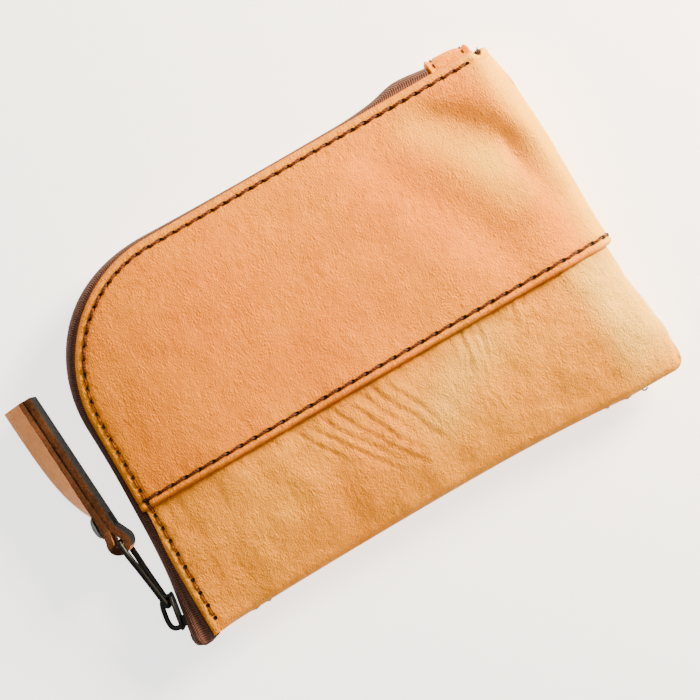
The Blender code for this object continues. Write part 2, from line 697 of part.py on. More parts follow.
def rivet():
    """Domed cap on the left, post through both tails with its flat head on the right."""
    face = STRAP_LEATHER + 1.1 * MM
    dome = [(RIVET_HEAD, 0), (RIVET_HEAD, 0.25), (0.86 * RIVET_HEAD, 0.6), (0.5 * RIVET_HEAD, 0.92),
            (0, 1.0)]
    bm = bmesh.new()
    base = rivet_place(-face)
    verts = [bm.verts.new(base)]
    verts += [bm.verts.new(base + Vector((-h * RIVET_DOME, 0, r))) for r, h in dome]
    edges = [bm.edges.new(pair) for pair in zip(verts, verts[1:])]
    bmesh.ops.spin(bm, geom=verts + edges, cent=base, axis=(1, 0, 0), angle=2 * math.pi, steps=20,
                   use_merge=True)
    bmesh.ops.remove_doubles(bm, verts=bm.verts, dist=0.00001)
    mesh_object("rivet_cap", bm, GREY_METAL)
    post = round_bar("rivet_post", rivet_place(-face + GAP), rivet_place(face + 0.2 * MM), RIVET_RADIUS)
    head = round_bar("rivet_head_tool", rivet_place(face), rivet_place(face + 0.5 * MM),
                     0.75 * RIVET_HEAD)
    boolean(post, hide_as_tool(head), "UNION")


def clear_scene():
    for old in list(bpy.data.objects):
        bpy.data.objects.remove(old, do_unlink=True)


clear_scene()
leather_panels()
zip_pieces()
zip_end()
threads()
slider()
link()
strap()
rivet()
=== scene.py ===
# %% [markdown]
# # A zipped leather pouch
# The pouch lies on its back: soft, vegetable tanned leather in two lapped panels, folded in half at
# the right, with an L-shaped coil zip round the left and the top, and a riveted leather pull.
# The frame holds the moving bodies with plain solids. This lesson lays the real surfaces over them.

# %% Load the frame
import math
import random

import bmesh
import bpy
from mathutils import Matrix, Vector, noise


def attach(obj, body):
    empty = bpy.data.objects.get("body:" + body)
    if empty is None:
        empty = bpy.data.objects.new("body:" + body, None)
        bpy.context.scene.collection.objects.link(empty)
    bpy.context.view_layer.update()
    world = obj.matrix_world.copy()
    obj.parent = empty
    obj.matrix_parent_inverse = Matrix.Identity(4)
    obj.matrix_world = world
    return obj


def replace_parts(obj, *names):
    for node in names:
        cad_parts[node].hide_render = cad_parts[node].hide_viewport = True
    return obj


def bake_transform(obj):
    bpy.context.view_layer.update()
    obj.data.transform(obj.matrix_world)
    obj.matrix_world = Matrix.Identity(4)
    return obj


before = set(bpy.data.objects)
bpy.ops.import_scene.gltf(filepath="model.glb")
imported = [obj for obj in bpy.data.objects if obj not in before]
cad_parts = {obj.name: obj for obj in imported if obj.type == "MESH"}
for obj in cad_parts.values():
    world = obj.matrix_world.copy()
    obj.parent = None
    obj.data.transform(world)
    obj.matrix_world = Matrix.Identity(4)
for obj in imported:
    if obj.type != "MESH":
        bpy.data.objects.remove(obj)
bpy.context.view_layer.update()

random.seed(7)

# %% [markdown]
# ## Sizes
# All sizes are in millimetres, measured from the bottom left corner of the leather, and `place`
# turns them into Blender's metres. The sizes are those of the frame's solids, so that each skin
# lies on its solid. Writing them down once, with names, keeps every later step short. The rest gap
# is how far the back's threads stay above the table that the pouch lies on.

# %% Sizes of the pouch
LENGTH, HEIGHT, FULLNESS, MID = 122.3, 85.0, 17.0, 8.0
CORNER = 31.0
LEATHER, GAP = 1.1, 0.3
ZIP_GAP, SEAM_THICKNESS, SEAM_CORNER_EXTRA = 11.0, 4.2, 2.6
FRONT_SWELL, BACK_SWELL, BOTTOM_SWELL = 22.0, 16.0, 28.0
SEAM_Y, TURNED_EDGE = 33.8, 2.1
LAP_Y = SEAM_Y - TURNED_EDGE
STRAIGHT = HEIGHT - CORNER
ARC = CORNER * math.pi / 2
TAB_START, TAB_LENGTH = 105.5, 10.7
ORIGIN = (60.0, 56.0)
ZIP_ROW, ZIP_PITCH = 2.2, 3.3
SEAM_PITCH = 3.6
REST_GAP = 0.28


def place(x, y, z):
    """Metres in the frame, from millimetres on the pouch; z is up or down from its middle plane."""
    return Vector((x - ORIGIN[0], y - ORIGIN[1], MID + z)) * 0.001


def clamp(value, low=0.0, high=1.0):
    return max(low, min(high, value))


def smooth(value):
    t = clamp(value)
    return t * t * (3 - 2 * t)


def bell(distance, width):
    return math.exp(-(distance / width) ** 2)


def spread(low, high, count):
    return [low + (high - low) * i / (count - 1) for i in range(count)]


def curve_through(knots, at):
    """Smooth curve through (place, value) knots."""
    last = len(knots) - 1
    if at <= knots[0][0]:
        return knots[0][1]
    if at >= knots[last][0]:
        return knots[last][1]
    i = max(k for k in range(last) if knots[k][0] <= at)
    (x0, y0), (x1, y1) = knots[i], knots[i + 1]
    before, after = knots[max(i - 1, 0)], knots[min(i + 2, last)]
    width = x1 - x0
    slope0 = (y1 - before[1]) / (x1 - before[0]) * width
    slope1 = (after[1] - y0) / (after[0] - x0) * width
    t = (at - x0) / width
    return ((2 * t**3 - 3 * t**2 + 1) * y0 + (t**3 - 2 * t**2 + t) * slope0
            + (3 * t**2 - 2 * t**3) * y1 + (t**3 - t**2) * slope1)


print(f"pouch {LENGTH:.0f} x {HEIGHT:.0f} x {FULLNESS:.0f} mm")

# %% [markdown]
# ## Colours and nodes
# Colours are picked as sRGB hex values, the way a paint chart gives them, and Blender's shaders
# work in linear light, so one function turns one into the other. One more adds a shader node:
# a setting's key is an input's name or number, or a property of the node, and a value that is
# another node's output is linked. Everything about a finish is then visible in its own cell.

# %% Colour and node helpers


def linear(hex_colour):
    parts = [int(hex_colour[i:i + 2], 16) / 255 for i in (1, 3, 5)]
    return (*[c / 12.92 if c <= 0.04045 else ((c + 0.055) / 1.055) ** 2.4 for c in parts], 1)


def add(tree, kind, settings=None):
    """Add a node. Settings are inputs (by name or number), properties, or outputs to link."""
    made = tree.nodes.new("ShaderNode" + kind)
    for key, value in (settings or {}).items():
        is_input = isinstance(key, int) or key in made.inputs
        if not is_input:
            setattr(made, key, value)
        elif isinstance(value, bpy.types.NodeSocket):
            tree.links.new(value, made.inputs[key])
        else:
            made.inputs[key].default_value = value
    return made


def finish_of(name):
    """A new material: its node tree and its Principled shader."""
    made = bpy.data.materials.new(name)
    made.use_nodes = True
    return made, made.node_tree, made.node_tree.nodes["Principled BSDF"]


def per_mm(size):
    """Scale of a pattern whose features are this many millimetres across, on metre coordinates."""
    return 1000 / size


print("tan leather, linear:", [round(c, 3) for c in linear("#e0995c")[:3]])

# %% [markdown]
# ## Vegetable tanned leather, grain side
# Full-grain cowhide, tanned with bark and only lightly waxed: a warm tan that darkens where hands
# and stitching burnish it. The same darker colour is also painted shade under the lap, along the
# bottom edge and in the creases, the valleys of the wrinkles are darkened as painted shade, and a
# paler colour is a painted highlight over the side fold, on ridges and on the zip's lip. It is a
# dielectric (IOR about 1.5) with a soft, satin shine (roughness 0.45 to 0.6). Its grain is a net
# of fine folds about half a millimetre apart, drawn here with half its depth added so that it
# shows, with longer wrinkles over it and cloudy colour from the tanning. Bare grain scatters most
# of its shine, so the specular level is kept very low.

# %% Leather finish


# worn is the colour of burnished wear and of painted shade, pale that of painted highlights
def tan_leather(name, light, mid, dark, worn, pale, wrinkle):
    """Cloudy tan leather; `wrinkle` is how deep its fine wrinkles are."""
    made, tree, shader = finish_of(name)
    where = add(tree, "TexCoord").outputs["Object"]
    cloud = add(tree, "TexNoise", {"Vector": where, "Scale": per_mm(24), "Detail": 3.0,
                                   "Roughness": 0.55})
    fleck = add(tree, "TexNoise", {"Vector": where, "Scale": per_mm(1.6), "Detail": 4.0,
                                   "Roughness": 0.7})
    bend = add(tree, "TexNoise", {"Vector": where, "Scale": per_mm(6), "Detail": 2.0})
    bent = add(tree, "MixRGB", {"blend_type": "ADD", "Fac": 0.0016, "Color1": where,
                                "Color2": bend.outputs["Color"]})
    drawn = add(tree, "Mapping", {"Vector": bent.outputs[0], "Scale": (1, 0.55, 1)})
    net = add(tree, "TexVoronoi", {"Vector": drawn.outputs[0], "Scale": per_mm(0.52),
                                   "feature": "DISTANCE_TO_EDGE"})
    folds = add(tree, "TexNoise", {"Vector": drawn.outputs[0], "Scale": per_mm(1.4), "Detail": 6.0,
                                   "Roughness": 0.68})
    # burnished wear, and painted shade under the lap, at the bottom edge and in the creases
    marks = add(tree, "Attribute", {"attribute_name": "burnish_and_shade"})
    # painted highlight over the side fold, on ridges and on the zip's lip
    highlight_mask = add(tree, "Attribute", {"attribute_name": "painted_highlight"})
    cloudy = add(tree, "ValToRGB", {"Fac": cloud.outputs["Fac"]})
    cloudy.color_ramp.elements[0].position = 0.34
    cloudy.color_ramp.elements[0].color = linear(mid)
    cloudy.color_ramp.elements[1].position = 0.66
    cloudy.color_ramp.elements[1].color = linear(light)
    flecked = add(tree, "MapRange", {"Value": fleck.outputs["Fac"], "From Min": 0.35,
                                     "From Max": 0.7, "To Min": 0.26, "To Max": 0.0})
    shaded = add(tree, "MixRGB", {"Fac": flecked.outputs[0], "Color1": cloudy.outputs[0],
                                  "Color2": linear(dark)})
    # the valleys of the fine wrinkles are darkened: painted shade
    wrinkle_valley_shade = add(tree, "MapRange", {"Value": folds.outputs["Fac"], "From Min": 0.30,
                                    "From Max": 0.50, "To Min": 0.30, "To Max": 0.0})
    lined = add(tree, "MixRGB", {"Fac": wrinkle_valley_shade.outputs[0], "Color1": shaded.outputs[0],
                                 "Color2": linear(dark)})
    # the pale colour is a painted highlight
    highlighted = add(tree, "MixRGB", {"Fac": highlight_mask.outputs["Fac"], "Color1": lined.outputs[0],
                                 "Color2": linear(pale)})
    # the worn colour is burnished wear by stitches and edges, and painted shade
    burnt_and_shaded = add(tree, "MixRGB", {"Fac": marks.outputs["Fac"], "Color1": highlighted.outputs[0],
                                 "Color2": linear(worn)})
    tree.links.new(burnt_and_shaded.outputs[0], shader.inputs["Base Color"])
    gloss = add(tree, "MapRange", {"Value": fleck.outputs["Fac"], "From Min": 0.3,
                                   "From Max": 0.7, "To Min": 0.62, "To Max": 0.46})
    tree.links.new(gloss.outputs[0], shader.inputs["Roughness"])
    pebble = add(tree, "Bump", {"Height": net.outputs["Distance"], "Strength": 0.66,
                                "Distance": 0.0006})
    crumple = add(tree, "Bump", {"Height": folds.outputs["Fac"], "Strength": wrinkle,
                                 "Distance": 0.0012, "Normal": pebble.outputs[0]})
    tree.links.new(crumple.outputs[0], shader.inputs["Normal"])
    shader.inputs["IOR"].default_value = 1.5
    shader.inputs["Specular IOR Level"].default_value = 0.05
    return made


UPPER_LEATHER = tan_leather("tan_leather_smooth", "#ff9c00", "#f68b00", "#c46400", "#9c4600", "#ffbe30", 0.5)
LOWER_LEATHER = tan_leather("tan_leather_milled", "#ffac1c", "#fb9c12", "#cc7004", "#a05004", "#ffca58", 0.7)
print("leather:", UPPER_LEATHER.name, LOWER_LEATHER.name)

# %% [markdown]
# ## Flesh side and cut edge
# The inside of the same leather is the flesh side: a matt nap of short fibres, paler and dull
# (roughness 0.9). A cut edge shows the layers between, a little darker because it drinks in wax.

# %% Flesh side and cut edge finishes


def nap_leather(name, light, dark, fibre, depth):
    made, tree, shader = finish_of(name)
    where = add(tree, "TexCoord").outputs["Object"]
    nap = add(tree, "TexNoise", {"Vector": where, "Scale": per_mm(fibre), "Detail": 6.0,
                                 "Roughness": 0.75, "Distortion": 0.6})
    blotch = add(tree, "TexNoise", {"Vector": where, "Scale": per_mm(9), "Detail": 2.0})
    both = add(tree, "Math", {"operation": "ADD", 0: nap.outputs["Fac"], 1: blotch.outputs["Fac"]})
    ramp = add(tree, "ValToRGB", {"Fac": add(tree, "Math", {
        "operation": "MULTIPLY", 0: both.outputs[0], 1: 0.5}).outputs[0]})
    ramp.color_ramp.elements[0].position = 0.36
    ramp.color_ramp.elements[0].color = linear(dark)
    ramp.color_ramp.elements[1].position = 0.62
    ramp.color_ramp.elements[1].color = linear(light)
    tree.links.new(ramp.outputs[0], shader.inputs["Base Color"])
    rough = add(tree, "Bump", {"Height": nap.outputs["Fac"], "Strength": depth,
                               "Distance": 0.0006})
    tree.links.new(rough.outputs[0], shader.inputs["Normal"])
    shader.inputs["Roughness"].default_value = 0.9
    shader.inputs["Specular IOR Level"].default_value = 0.1
    return made


FLESH_SIDE = nap_leather("leather_flesh_side", "#d39a5c", "#a8703a", 0.8, 0.7)
CUT_EDGE = nap_leather("leather_cut_edge", "#df8a44", "#9a5420", 0.5, 0.6)
STRAP_EDGE = nap_leather("strap_cut_edge", "#5c3a24", "#24130a", 0.7, 0.9)
print("inner faces:", FLESH_SIDE.name, CUT_EDGE.name)

# %% [markdown]
# ## Shape of the body
# Seen from above, the leather's zipped edge is straight, then runs round the big corner. Its height
# rises from the zip and from the bottom seam to the full middle. At the right the panels don't end:
# they turn over in a soft roll. These formulas follow the frame's, so the skin fits it.

# %% Body formulas


def left_x(y):
    up = clamp(y - STRAIGHT, 0, CORNER)
    return CORNER - math.sqrt(CORNER**2 - up**2)


def fold_line(y):
    x = LENGTH + 1.3 * math.exp(-((y - 9) / 13) ** 2)
    return x - 2.8 * max(y / HEIGHT - 0.65, 0) ** 2 / 0.35**2


def fold_start(y):
    return fold_line(y) - 15 + 10 * smooth((y / HEIGHT - 0.6) / 0.4)


LOW_CORNER, HIGH_CORNER = 2.6, 0.8


def corner_cut(radius, depth):
    """How much a rounded corner takes away at this depth into it."""
    return radius - math.sqrt(max(radius**2 - max(depth, 0)**2, 0))


def fold_depth(y):
    """How far the roll reaches out, less at its two rounded corners."""
    cut = corner_cut(LOW_CORNER, LOW_CORNER - y) + corner_cut(HIGH_CORNER, y - HEIGHT + HIGH_CORNER)
    return fold_line(y) - fold_start(y) - cut


def bottom_bow(x, y):
    t = x / LENGTH - 0.57
    reach, dip = (0.57, 1.3) if t < 0 else (0.41, 2.7)
    return (0.8 - dip * (t / reach) ** 2) * (1 - smooth(y / SEAM_Y))


def zip_distance(x, y):
    """How far a point is inside the zipped edge."""
    if x < CORNER and y > STRAIGHT:
        return max(CORNER - math.hypot(x - CORNER, y - STRAIGHT), 0)
    return max(min(x, HEIGHT - y), 0)


def zip_along(x, y):
    """How far along the zipped edge a point is, from the bottom left corner."""
    if y <= STRAIGHT and x < HEIGHT - y:
        return y
    if x < CORNER:
        return STRAIGHT + CORNER * math.atan2(y - STRAIGHT, CORNER - x)
    return STRAIGHT + ARC + x - CORNER


def side_height(x, y, full_height, swell):
    edge = ZIP_GAP / 2
    near = 1 - (1 - clamp(zip_distance(x, y) / swell)) ** 2
    full = edge + (full_height - edge) * near
    seam = (SEAM_THICKNESS + SEAM_CORNER_EXTRA * (1 - smooth(x / 14))) / 2
    return seam + (full - seam) * math.sin(math.pi / 2 * clamp(y / BOTTOM_SWELL))


def front_height(x, y):
    return side_height(x, y, FULLNESS - MID, FRONT_SWELL)


def back_height(x, y):
    return side_height(x, y, MID, BACK_SWELL)


def lap_inset(y):
    return (LEATHER + GAP) * smooth((y - 8) / (SEAM_Y - 16))


print(f"front {front_height(60, 56):.1f} mm above the middle plane at its fullest")

# %% [markdown]
# ## How the leather is marked
# Real leather is never the smooth shape of its pattern. Thread pulls it down in a scalloped groove,
# the turned edge of the upper panel stands up as a soft bead, and the lower panel gathers under it
# in fans of creases. Sinking and raising the surface with small functions keeps every mark in the
# mesh itself, so the light finds it from all sides. Broad hollows near the fold come first.

# %% Hollows, creases and puckers
HOLLOWS = [
    # from, to, depth, reach on the far side of the line, reach on the near side
    ((95, 83), (114, 61), 2.6, 8.5, 5.0),
    ((114, 61), (116, 49), 1.3, 4.0, 4.5),
    ((84, 74), (99, 46), 1.3, 5.5, 6.0),
    ((117, 38), (112, 20), 0.7, 3.5, 4.0),
]


def hollow(x, y):
    """Broad hollows: each is deepest along a line and fades past its ends."""
    total = 0
    for start, end, depth, far, near in HOLLOWS:
        ax, ay = start
        dx, dy = end[0] - ax, end[1] - ay
        size = math.hypot(dx, dy)
        t = ((x - ax) * dx + (y - ay) * dy) / size**2
        off = ((x - ax) * dy - (y - ay) * dx) / size
        past = max(-t, t - 1, 0) * size
        total += depth * bell(off, near if off < 0 else far) * bell(past, 6.0)
    return total * (1 - smooth((x - fold_line(y) + 9.5) / 7))


def crease_fan(x, y):
    """Curved creases that fan out from under the turned edge of the upper panel."""
    t = (LAP_Y - y) / 27
    if not -0.1 < t < 1.1 or not 30 < x < 82:
        return 0
    waver = 0.9 * noise.noise(Vector((x / 6, y / 6, 3.1)))
    total = 0
    for i in range(8):
        top_x, low_x = 38 + 3.3 * i, 58.5 + 2.0 * i
        line = top_x + (low_x - top_x) * t - 1.6 * math.sin(math.pi * t) * (1 - i / 5)
        off = x - line + waver
        start, end = 0.06 * (i * 5 % 3), 0.62 + 0.38 * ((i * 3 % 5) / 4)
        shown = smooth((t - start + 0.06) / 0.08) * smooth((end - t) / 0.3)
        total += shown * (bell(off, 0.42) - 0.5 * bell(off - 0.95, 0.6))
    return total


def short_creases(x, y):
    """A few straighter creases further right, and by the fold."""
    total = 0
    for top_x, low_x, low_y, gap, count in ((84.5, 79, 8, 2.4, 3), (112, 115, 22, 1.7, 2),
                                            (97, 92, 20, 3.0, 2)):
        t = clamp((LAP_Y - y) / (LAP_Y - low_y), 0, 1.2)
        offset = x - top_x - (low_x - top_x) * t + 0.8 * noise.noise(Vector((x / 4, y / 4, 5)))
        for i in range(count):
            off = offset - (i - (count - 1) / 2) * gap * (1 - 0.4 * t)
            total += (bell(off, 0.42) - 0.4 * bell(off - 0.9, 0.6)) * (1 - smooth(t))
    return 0.7 * total


print(f"hollow by the fold {hollow(108, 70):.2f} mm deep")

# %% [markdown]
# ## Relief of the two panels
# One function adds up everything that lifts or sinks the grain side at a point, in millimetres.
# It is asked again for every stitch, so the thread lies exactly in the groove it pulled.

# %% Relief


def zip_groove(x, y):
    """Scalloped groove of the stitch row along the zip, and the lip outside it."""
    distance = zip_distance(x, y)
    if distance > 6:
        return 0
    pull = 0.65 + 0.35 * math.cos(2 * math.pi * zip_along(x, y) / ZIP_PITCH)
    lip = 0.14 * bell(distance - 1.15, 0.6) * (1.2 - pull)
    rounded = 0.38 * bell(distance, 0.30)
    return lip - 0.32 * bell(distance - ZIP_ROW, 0.55) * pull - rounded


TURN_RADIUS = 1.1


def seam_groove(u, y):
    """Groove of the seam's stitches, with a pucker at each, and the bead of the turned edge."""
    off = y - SEAM_Y
    if abs(off) > 7:
        return 0
    pull = 0.6 + 0.4 * math.cos(2 * math.pi * u / SEAM_PITCH)
    bead = 0.30 * bell(off + 1.15, 0.75)
    turned = 0.85 * corner_cut(TURN_RADIUS, TURN_RADIUS - (off + TURNED_EDGE))
    pucker = 0.05 * math.cos(2 * math.pi * u / SEAM_PITCH) * bell(off - 1.4, 1.4)
    return bead - 0.34 * bell(off, 0.5) * pull - turned + pucker


def grain_waves(u, y, side):
    big = noise.noise(Vector((u / 21, y / 21, side * 7 + 0.4)))
    small = noise.noise(Vector((u / 6.5, y / 6.5, side * 5 + 2.2)))
    fine = noise.noise(Vector((u / 2.4, y / 2.4, side * 3 + 5.7)))
    return big, small, fine


def upper_relief(u, x, y, side):
    big, small, fine = grain_waves(u, y, side)
    inside = smooth(zip_distance(x, y) / 10)
    value = (0.8 * big + 0.25 * small) * inside + 0.04 * fine
    if side > 0:
        value -= hollow(u, y) * inside
    return value + zip_groove(x, y) + seam_groove(u, y)


def lower_relief(u, x, y, side):
    big, small, fine = grain_waves(u, y, side)
    inside = smooth(zip_distance(x, y) / 9)
    value = (0.7 * big + 0.5 * small) * inside + 0.12 * fine
    under = bell(LAP_Y - y, 5.0) * inside
    value -= under * (0.08 + 0.4 * abs(noise.noise(Vector((u / 3.2, y / 10, side * 4 + 1)))))
    if side > 0:
        value -= 0.26 * crease_fan(u, y) + 0.34 * short_creases(u, y)
    return value + zip_groove(x, y)


print(f"stitch groove {-zip_groove(2.2, 33):.2f} mm deep")

# %% [markdown]
# ## The leather skins
# Each panel runs in one piece from the zip, over the front, round the side fold and back
# underneath, so it is made as one grid. A row crosses the pouch at one height; every point has an
# outer place on the grain side and an inner place one leather's thickness in, and the rim between
# them is the cut edge. A solidify modifier could thicken a single sheet, but the rows already know
# both faces. The rest of the back is a second piece, joined where the pouch lies on its back.

# %% Points across one row
BACK_STRIP = 10.0
THINNEST, TABLE_GAP = 0.12, 0.03
EDGE_STEPS = [0, 0.1, 0.25, 0.5, 0.9, 1.35, 1.8, 2.2, 2.6, 3.1, 3.7]


def bottom_roll(x, y):
    """1 on the panel, down to 0 where it turns in at the bottom seam; open at the zip's end."""
    turned = math.sqrt(max(1 - (1 - clamp(y / 2.0)) ** 2, 0))
    closed = smooth((x - 0.8) / 5)
    return 1 - closed * (1 - turned)


def notch(x, y):
    """The front's top edge dips a little beside the fold, where the tape's frayed end comes out."""
    return 1.5 * bell(x - 117.0, 1.0) * smooth((y - HEIGHT + 4) / 4)


def flat_point(x, y, side, level, u):
    height = front_height if side > 0 else back_height
    relief, inset = LEVELS[level]
    outer = height(x, y) * bottom_roll(x, y) - inset(y) + relief(u, x, y, side) * smooth((y + 1) / 3)
    outer = clamp(outer, THINNEST, FULLNESS if side > 0 else MID - TABLE_GAP)
    inner = max(outer - LEATHER, 0.05)
    bow = bottom_bow(x, y) - (notch(x, y) if side > 0 else 0)
    return place(x, y + bow, side * outer), place(x, y + bow, side * inner)


def roll_point(angle, y, level, u):
    """On the side fold; the angle is 0 at the front, half a turn at the back."""
    relief, inset = LEVELS[level]
    start, depth = fold_start(y), fold_depth(y)
    side = 1 if angle < math.pi / 2 else -1
    half = (front_height if side > 0 else back_height)(start, y) * bottom_roll(start, y)
    shrink = inset(y) - relief(u, start, y, side) * smooth((y + 1) / 3)
    if side < 0:
        shrink = max(shrink, half - MID + TABLE_GAP)
    bow = bottom_bow(start, y)
    points = []
    for s in (shrink, shrink + LEATHER):
        x = start + (depth - s) * math.sin(angle)
        z = max(half - s, THINNEST) * abs(math.cos(angle))
        points.append(place(x, y + bow - (notch(x, y) if side > 0 else 0), side * z))
    return points


def roll_length(y):
    return math.pi * math.hypot(fold_depth(y), 9) / math.sqrt(2)


def panel_left(y, level):
    """Left edge of a panel: the lower one is cut back a little under the lap."""
    return left_x(y) + (0.8 * smooth((y - 20) / 10) if level == "lower" else 0)


def skin_row(y, level, step):
    """Front and fold and a strip of the back: (outer, inner, unrolled distance, x) of each point."""
    start, roll = panel_left(y, level), fold_start(y)
    flat = [start + e for e in EDGE_STEPS]
    count = round((LENGTH - 20) / step)
    flat += [flat[-1] + (roll - flat[-1]) * i / count for i in range(1, count + 1)]
    found = [(*flat_point(x, y, 1, level, x), x, x) for x in flat]
    length = roll_length(y)
    turns = round(34 / step)
    for i in range(1, turns):
        u = roll + length * i / turns
        found.append((*roll_point(math.pi * i / turns, y, level, u), u, roll))
    strip = round(BACK_STRIP / step)
    for i in range(strip + 1):
        x = roll - BACK_STRIP * i / strip
        found.append((*flat_point(x, y, -1, level, roll + length + roll - x), roll + length + roll - x, x))
    return found


def back_row(y, level, step):
    start, end = panel_left(y, level), fold_start(y) - BACK_STRIP
    length, roll = roll_length(y), fold_start(y)
    flat = [start + e for e in EDGE_STEPS]
    count = round((LENGTH - 32) / step)
    flat += [flat[-1] + (end - flat[-1]) * i / count for i in range(1, count + 1)]
    return [(*flat_point(x, y, -1, level, roll + length + roll - x), roll + length + roll - x, x)
            for x in flat]


LEVELS = {"upper": (upper_relief, lambda y: 0), "lower": (lower_relief, lap_inset)}
print("points across a front row:", len(skin_row(20, "lower", 0.6)))

# %% [markdown]
# A skin is then a stack of such rows. Rows lie close together where the leather bends sharply: at
# the bottom seam, at the turned edge, and towards the top, where the corner's curve runs flat.
# Two colour attributes are set here too, because the mesh knows where the edges are: one for
# burnished wear and painted shade, one for painted highlights.

# %% Build a skin from rows


def lower_rows(step):
    near = [0, 0.05, 0.15, 0.3, 0.5, 0.8, 1.1, 1.5, 2.0]
    return near + spread(2.0 + step, 37.0, round(35 / step))


def upper_rows(step):
    near = [LAP_Y + rise for rise in (0, 0.04, 0.12, 0.25, 0.42, 0.65, 0.9)]
    straight = spread(LAP_Y + 1.2, STRAIGHT, round((STRAIGHT - LAP_Y) / step))
    turns = round(66 / step)
    corner = [STRAIGHT + CORNER * math.sin(math.pi / 2 * i / turns) for i in range(1, turns + 1)]
    return near + straight + corner


def burnish_and_shade_at(u, x, y, level):
    """Darker by the stitches and edges, from wax, thread and handling; painted shade
    under the lap, along the bottom edge and in the creases.
    """
    zipped = zip_distance(x, y)
    mark = 0.30 * bell(zipped, 0.35) + 0.28 * bell(zipped - ZIP_ROW, 0.6)
    if level == "upper":
        mark += 0.35 * bell(y - SEAM_Y, 0.6) + 0.35 * bell(y - LAP_Y, 0.5)
    else:
        gather = clamp(0.5 + noise.noise(Vector((u / 14, 0.3, 1.7))))
        # painted shade under the lap's turned edge and along the bottom edge, then in the creases
        mark += 0.24 * bell(LAP_Y - y, 1.2 + 2.4 * gather) + 0.30 * bell(y, 1.5)
        mark += 0.15 * crease_fan(u, y) + 0.2 * short_creases(u, y)
    return clamp(mark)


# lines along which a highlight is painted: from, to, reach
RIDGE_HIGHLIGHTS = [((96, 77), (107, 62), 5.0), ((107, 62), (108, 52), 4.5), ((70, 17), (84, 27), 6.0)]


def painted_highlight_at(u, x, y, level):
    """Painted highlight: paler over the side fold, on ridges and on the stitched lip."""
    mark = 0.9 * smooth((u - fold_line(y) + (17 if level == "lower" else 9.5)) / 8)
    for start, end, reach in RIDGE_HIGHLIGHTS:
        dx, dy = end[0] - start[0], end[1] - start[1]
        t = clamp(((u - start[0]) * dx + (y - start[1]) * dy) / (dx * dx + dy * dy))
        mark += 0.5 * bell(math.hypot(u - start[0] - dx * t, y - start[1] - dy * t), reach)
    mark += 0.25 * bell(zip_distance(x, y) - 1.05, 0.5)
    return clamp(mark) * (1 if level == "upper" else 1 - 0.8 * bell(y, 7))


def skin(name, rows, finishes, level):
    """Closed sheet from rows of (outer, inner, u, x) points; finishes for grain, flesh and edge."""
    high, wide = len(rows), len(rows[0][1])
    places, marks, highlight_marks = [], [], []
    for layer in (0, 1):
        for y, row in rows:
            places += [p[layer] for p in row]
            marks += [burnish_and_shade_at(p[2], p[3], y, level) for p in row]
            highlight_marks += [painted_highlight_at(p[2], p[3], y, level) for p in row]

    def at(r, c, layer):
        return (layer * high + r) * wide + c

    faces, slots = [], []
    for r in range(high - 1):
        for c in range(wide - 1):
            ring = [(r, c), (r, c + 1), (r + 1, c + 1), (r + 1, c)]
            faces.append([at(*p, 0) for p in ring])
            faces.append([at(*p, 1) for p in reversed(ring)])
            slots += [0, 1]
    rim = [(0, c) for c in range(wide)] + [(r, wide - 1) for r in range(1, high)]
    rim += [(high - 1, c) for c in range(wide - 2, -1, -1)] + [(r, 0) for r in range(high - 2, 0, -1)]
    for a, b in zip(rim, rim[1:] + rim[:1]):
        faces.append([at(*b, 0), at(*a, 0), at(*a, 1), at(*b, 1)])
        slots.append(2)
    mesh = bpy.data.meshes.new(name)
    mesh.from_pydata([tuple(p) for p in places], [], faces)
    mesh.polygons.foreach_set("material_index", slots)
    # burnished wear with painted shade, then painted highlights
    mesh.attributes.new("burnish_and_shade", "FLOAT", "POINT").data.foreach_set("value", marks)
    mesh.attributes.new("painted_highlight", "FLOAT", "POINT").data.foreach_set("value", highlight_marks)
    return piece(name, mesh, finishes, 50)


def piece(name, mesh, finishes, smooth_angle=40):
    for made in finishes:
        mesh.materials.append(made)
    mesh.validate()
    mesh.shade_smooth()
    mesh.set_sharp_from_angle(angle=math.radians(smooth_angle))
    made = bpy.data.objects.new(name, mesh)
    bpy.context.scene.collection.objects.link(made)
    return made


FINE = 0.5
skins = {}
for level, rows_of, grain in (("lower", lower_rows, LOWER_LEATHER), ("upper", upper_rows, UPPER_LEATHER)):
    finishes = (grain, FLESH_SIDE, CUT_EDGE)
    front = [(y, skin_row(y, level, FINE)) for y in rows_of(FINE)]
    back = [(y, back_row(y, level, 2 * FINE)) for y in rows_of(2 * FINE)]
    skins[level, "front"] = skin(f"{level}_panel_skin", front, finishes, level)
    skins[level, "back"] = skin(f"{level}_panel_back_skin", back, finishes, level)
print({s.name: len(s.data.vertices) for s in skins.values()})

# %% [markdown]
# The front skins have their placement baked into their meshes and stand for the frame's front
# solids. The back skins ride on the shell.


def bend_at_mouth(made, *nodes):
    """The piece's placement is baked into its mesh, and it stands for these solids of the frame."""
    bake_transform(made)
    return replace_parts(made, *nodes)


def carry(made, body, *nodes):
    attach(made, body)
    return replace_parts(made, *nodes) if nodes else made


bend_at_mouth(skins["upper", "front"], "front_upper_panel", "front_upper_corner", "side_fold_upper")
bend_at_mouth(skins["lower", "front"], "front_lower_panel", "front_lower_corner", "side_fold_lower")
carry(skins["upper", "back"], "shell", "back_upper_panel")
carry(skins["lower", "back"], "shell", "back_lower_panel")

# %% [markdown]
# ## The zip's path
# Tape, coil and stitches all follow the leather's zipped edge, so one function gives the place and
# the outward direction at any distance along it, and another how far outside the coil runs: it
# stands well out at the slider, dips in over the top and bulges again before the end patch.

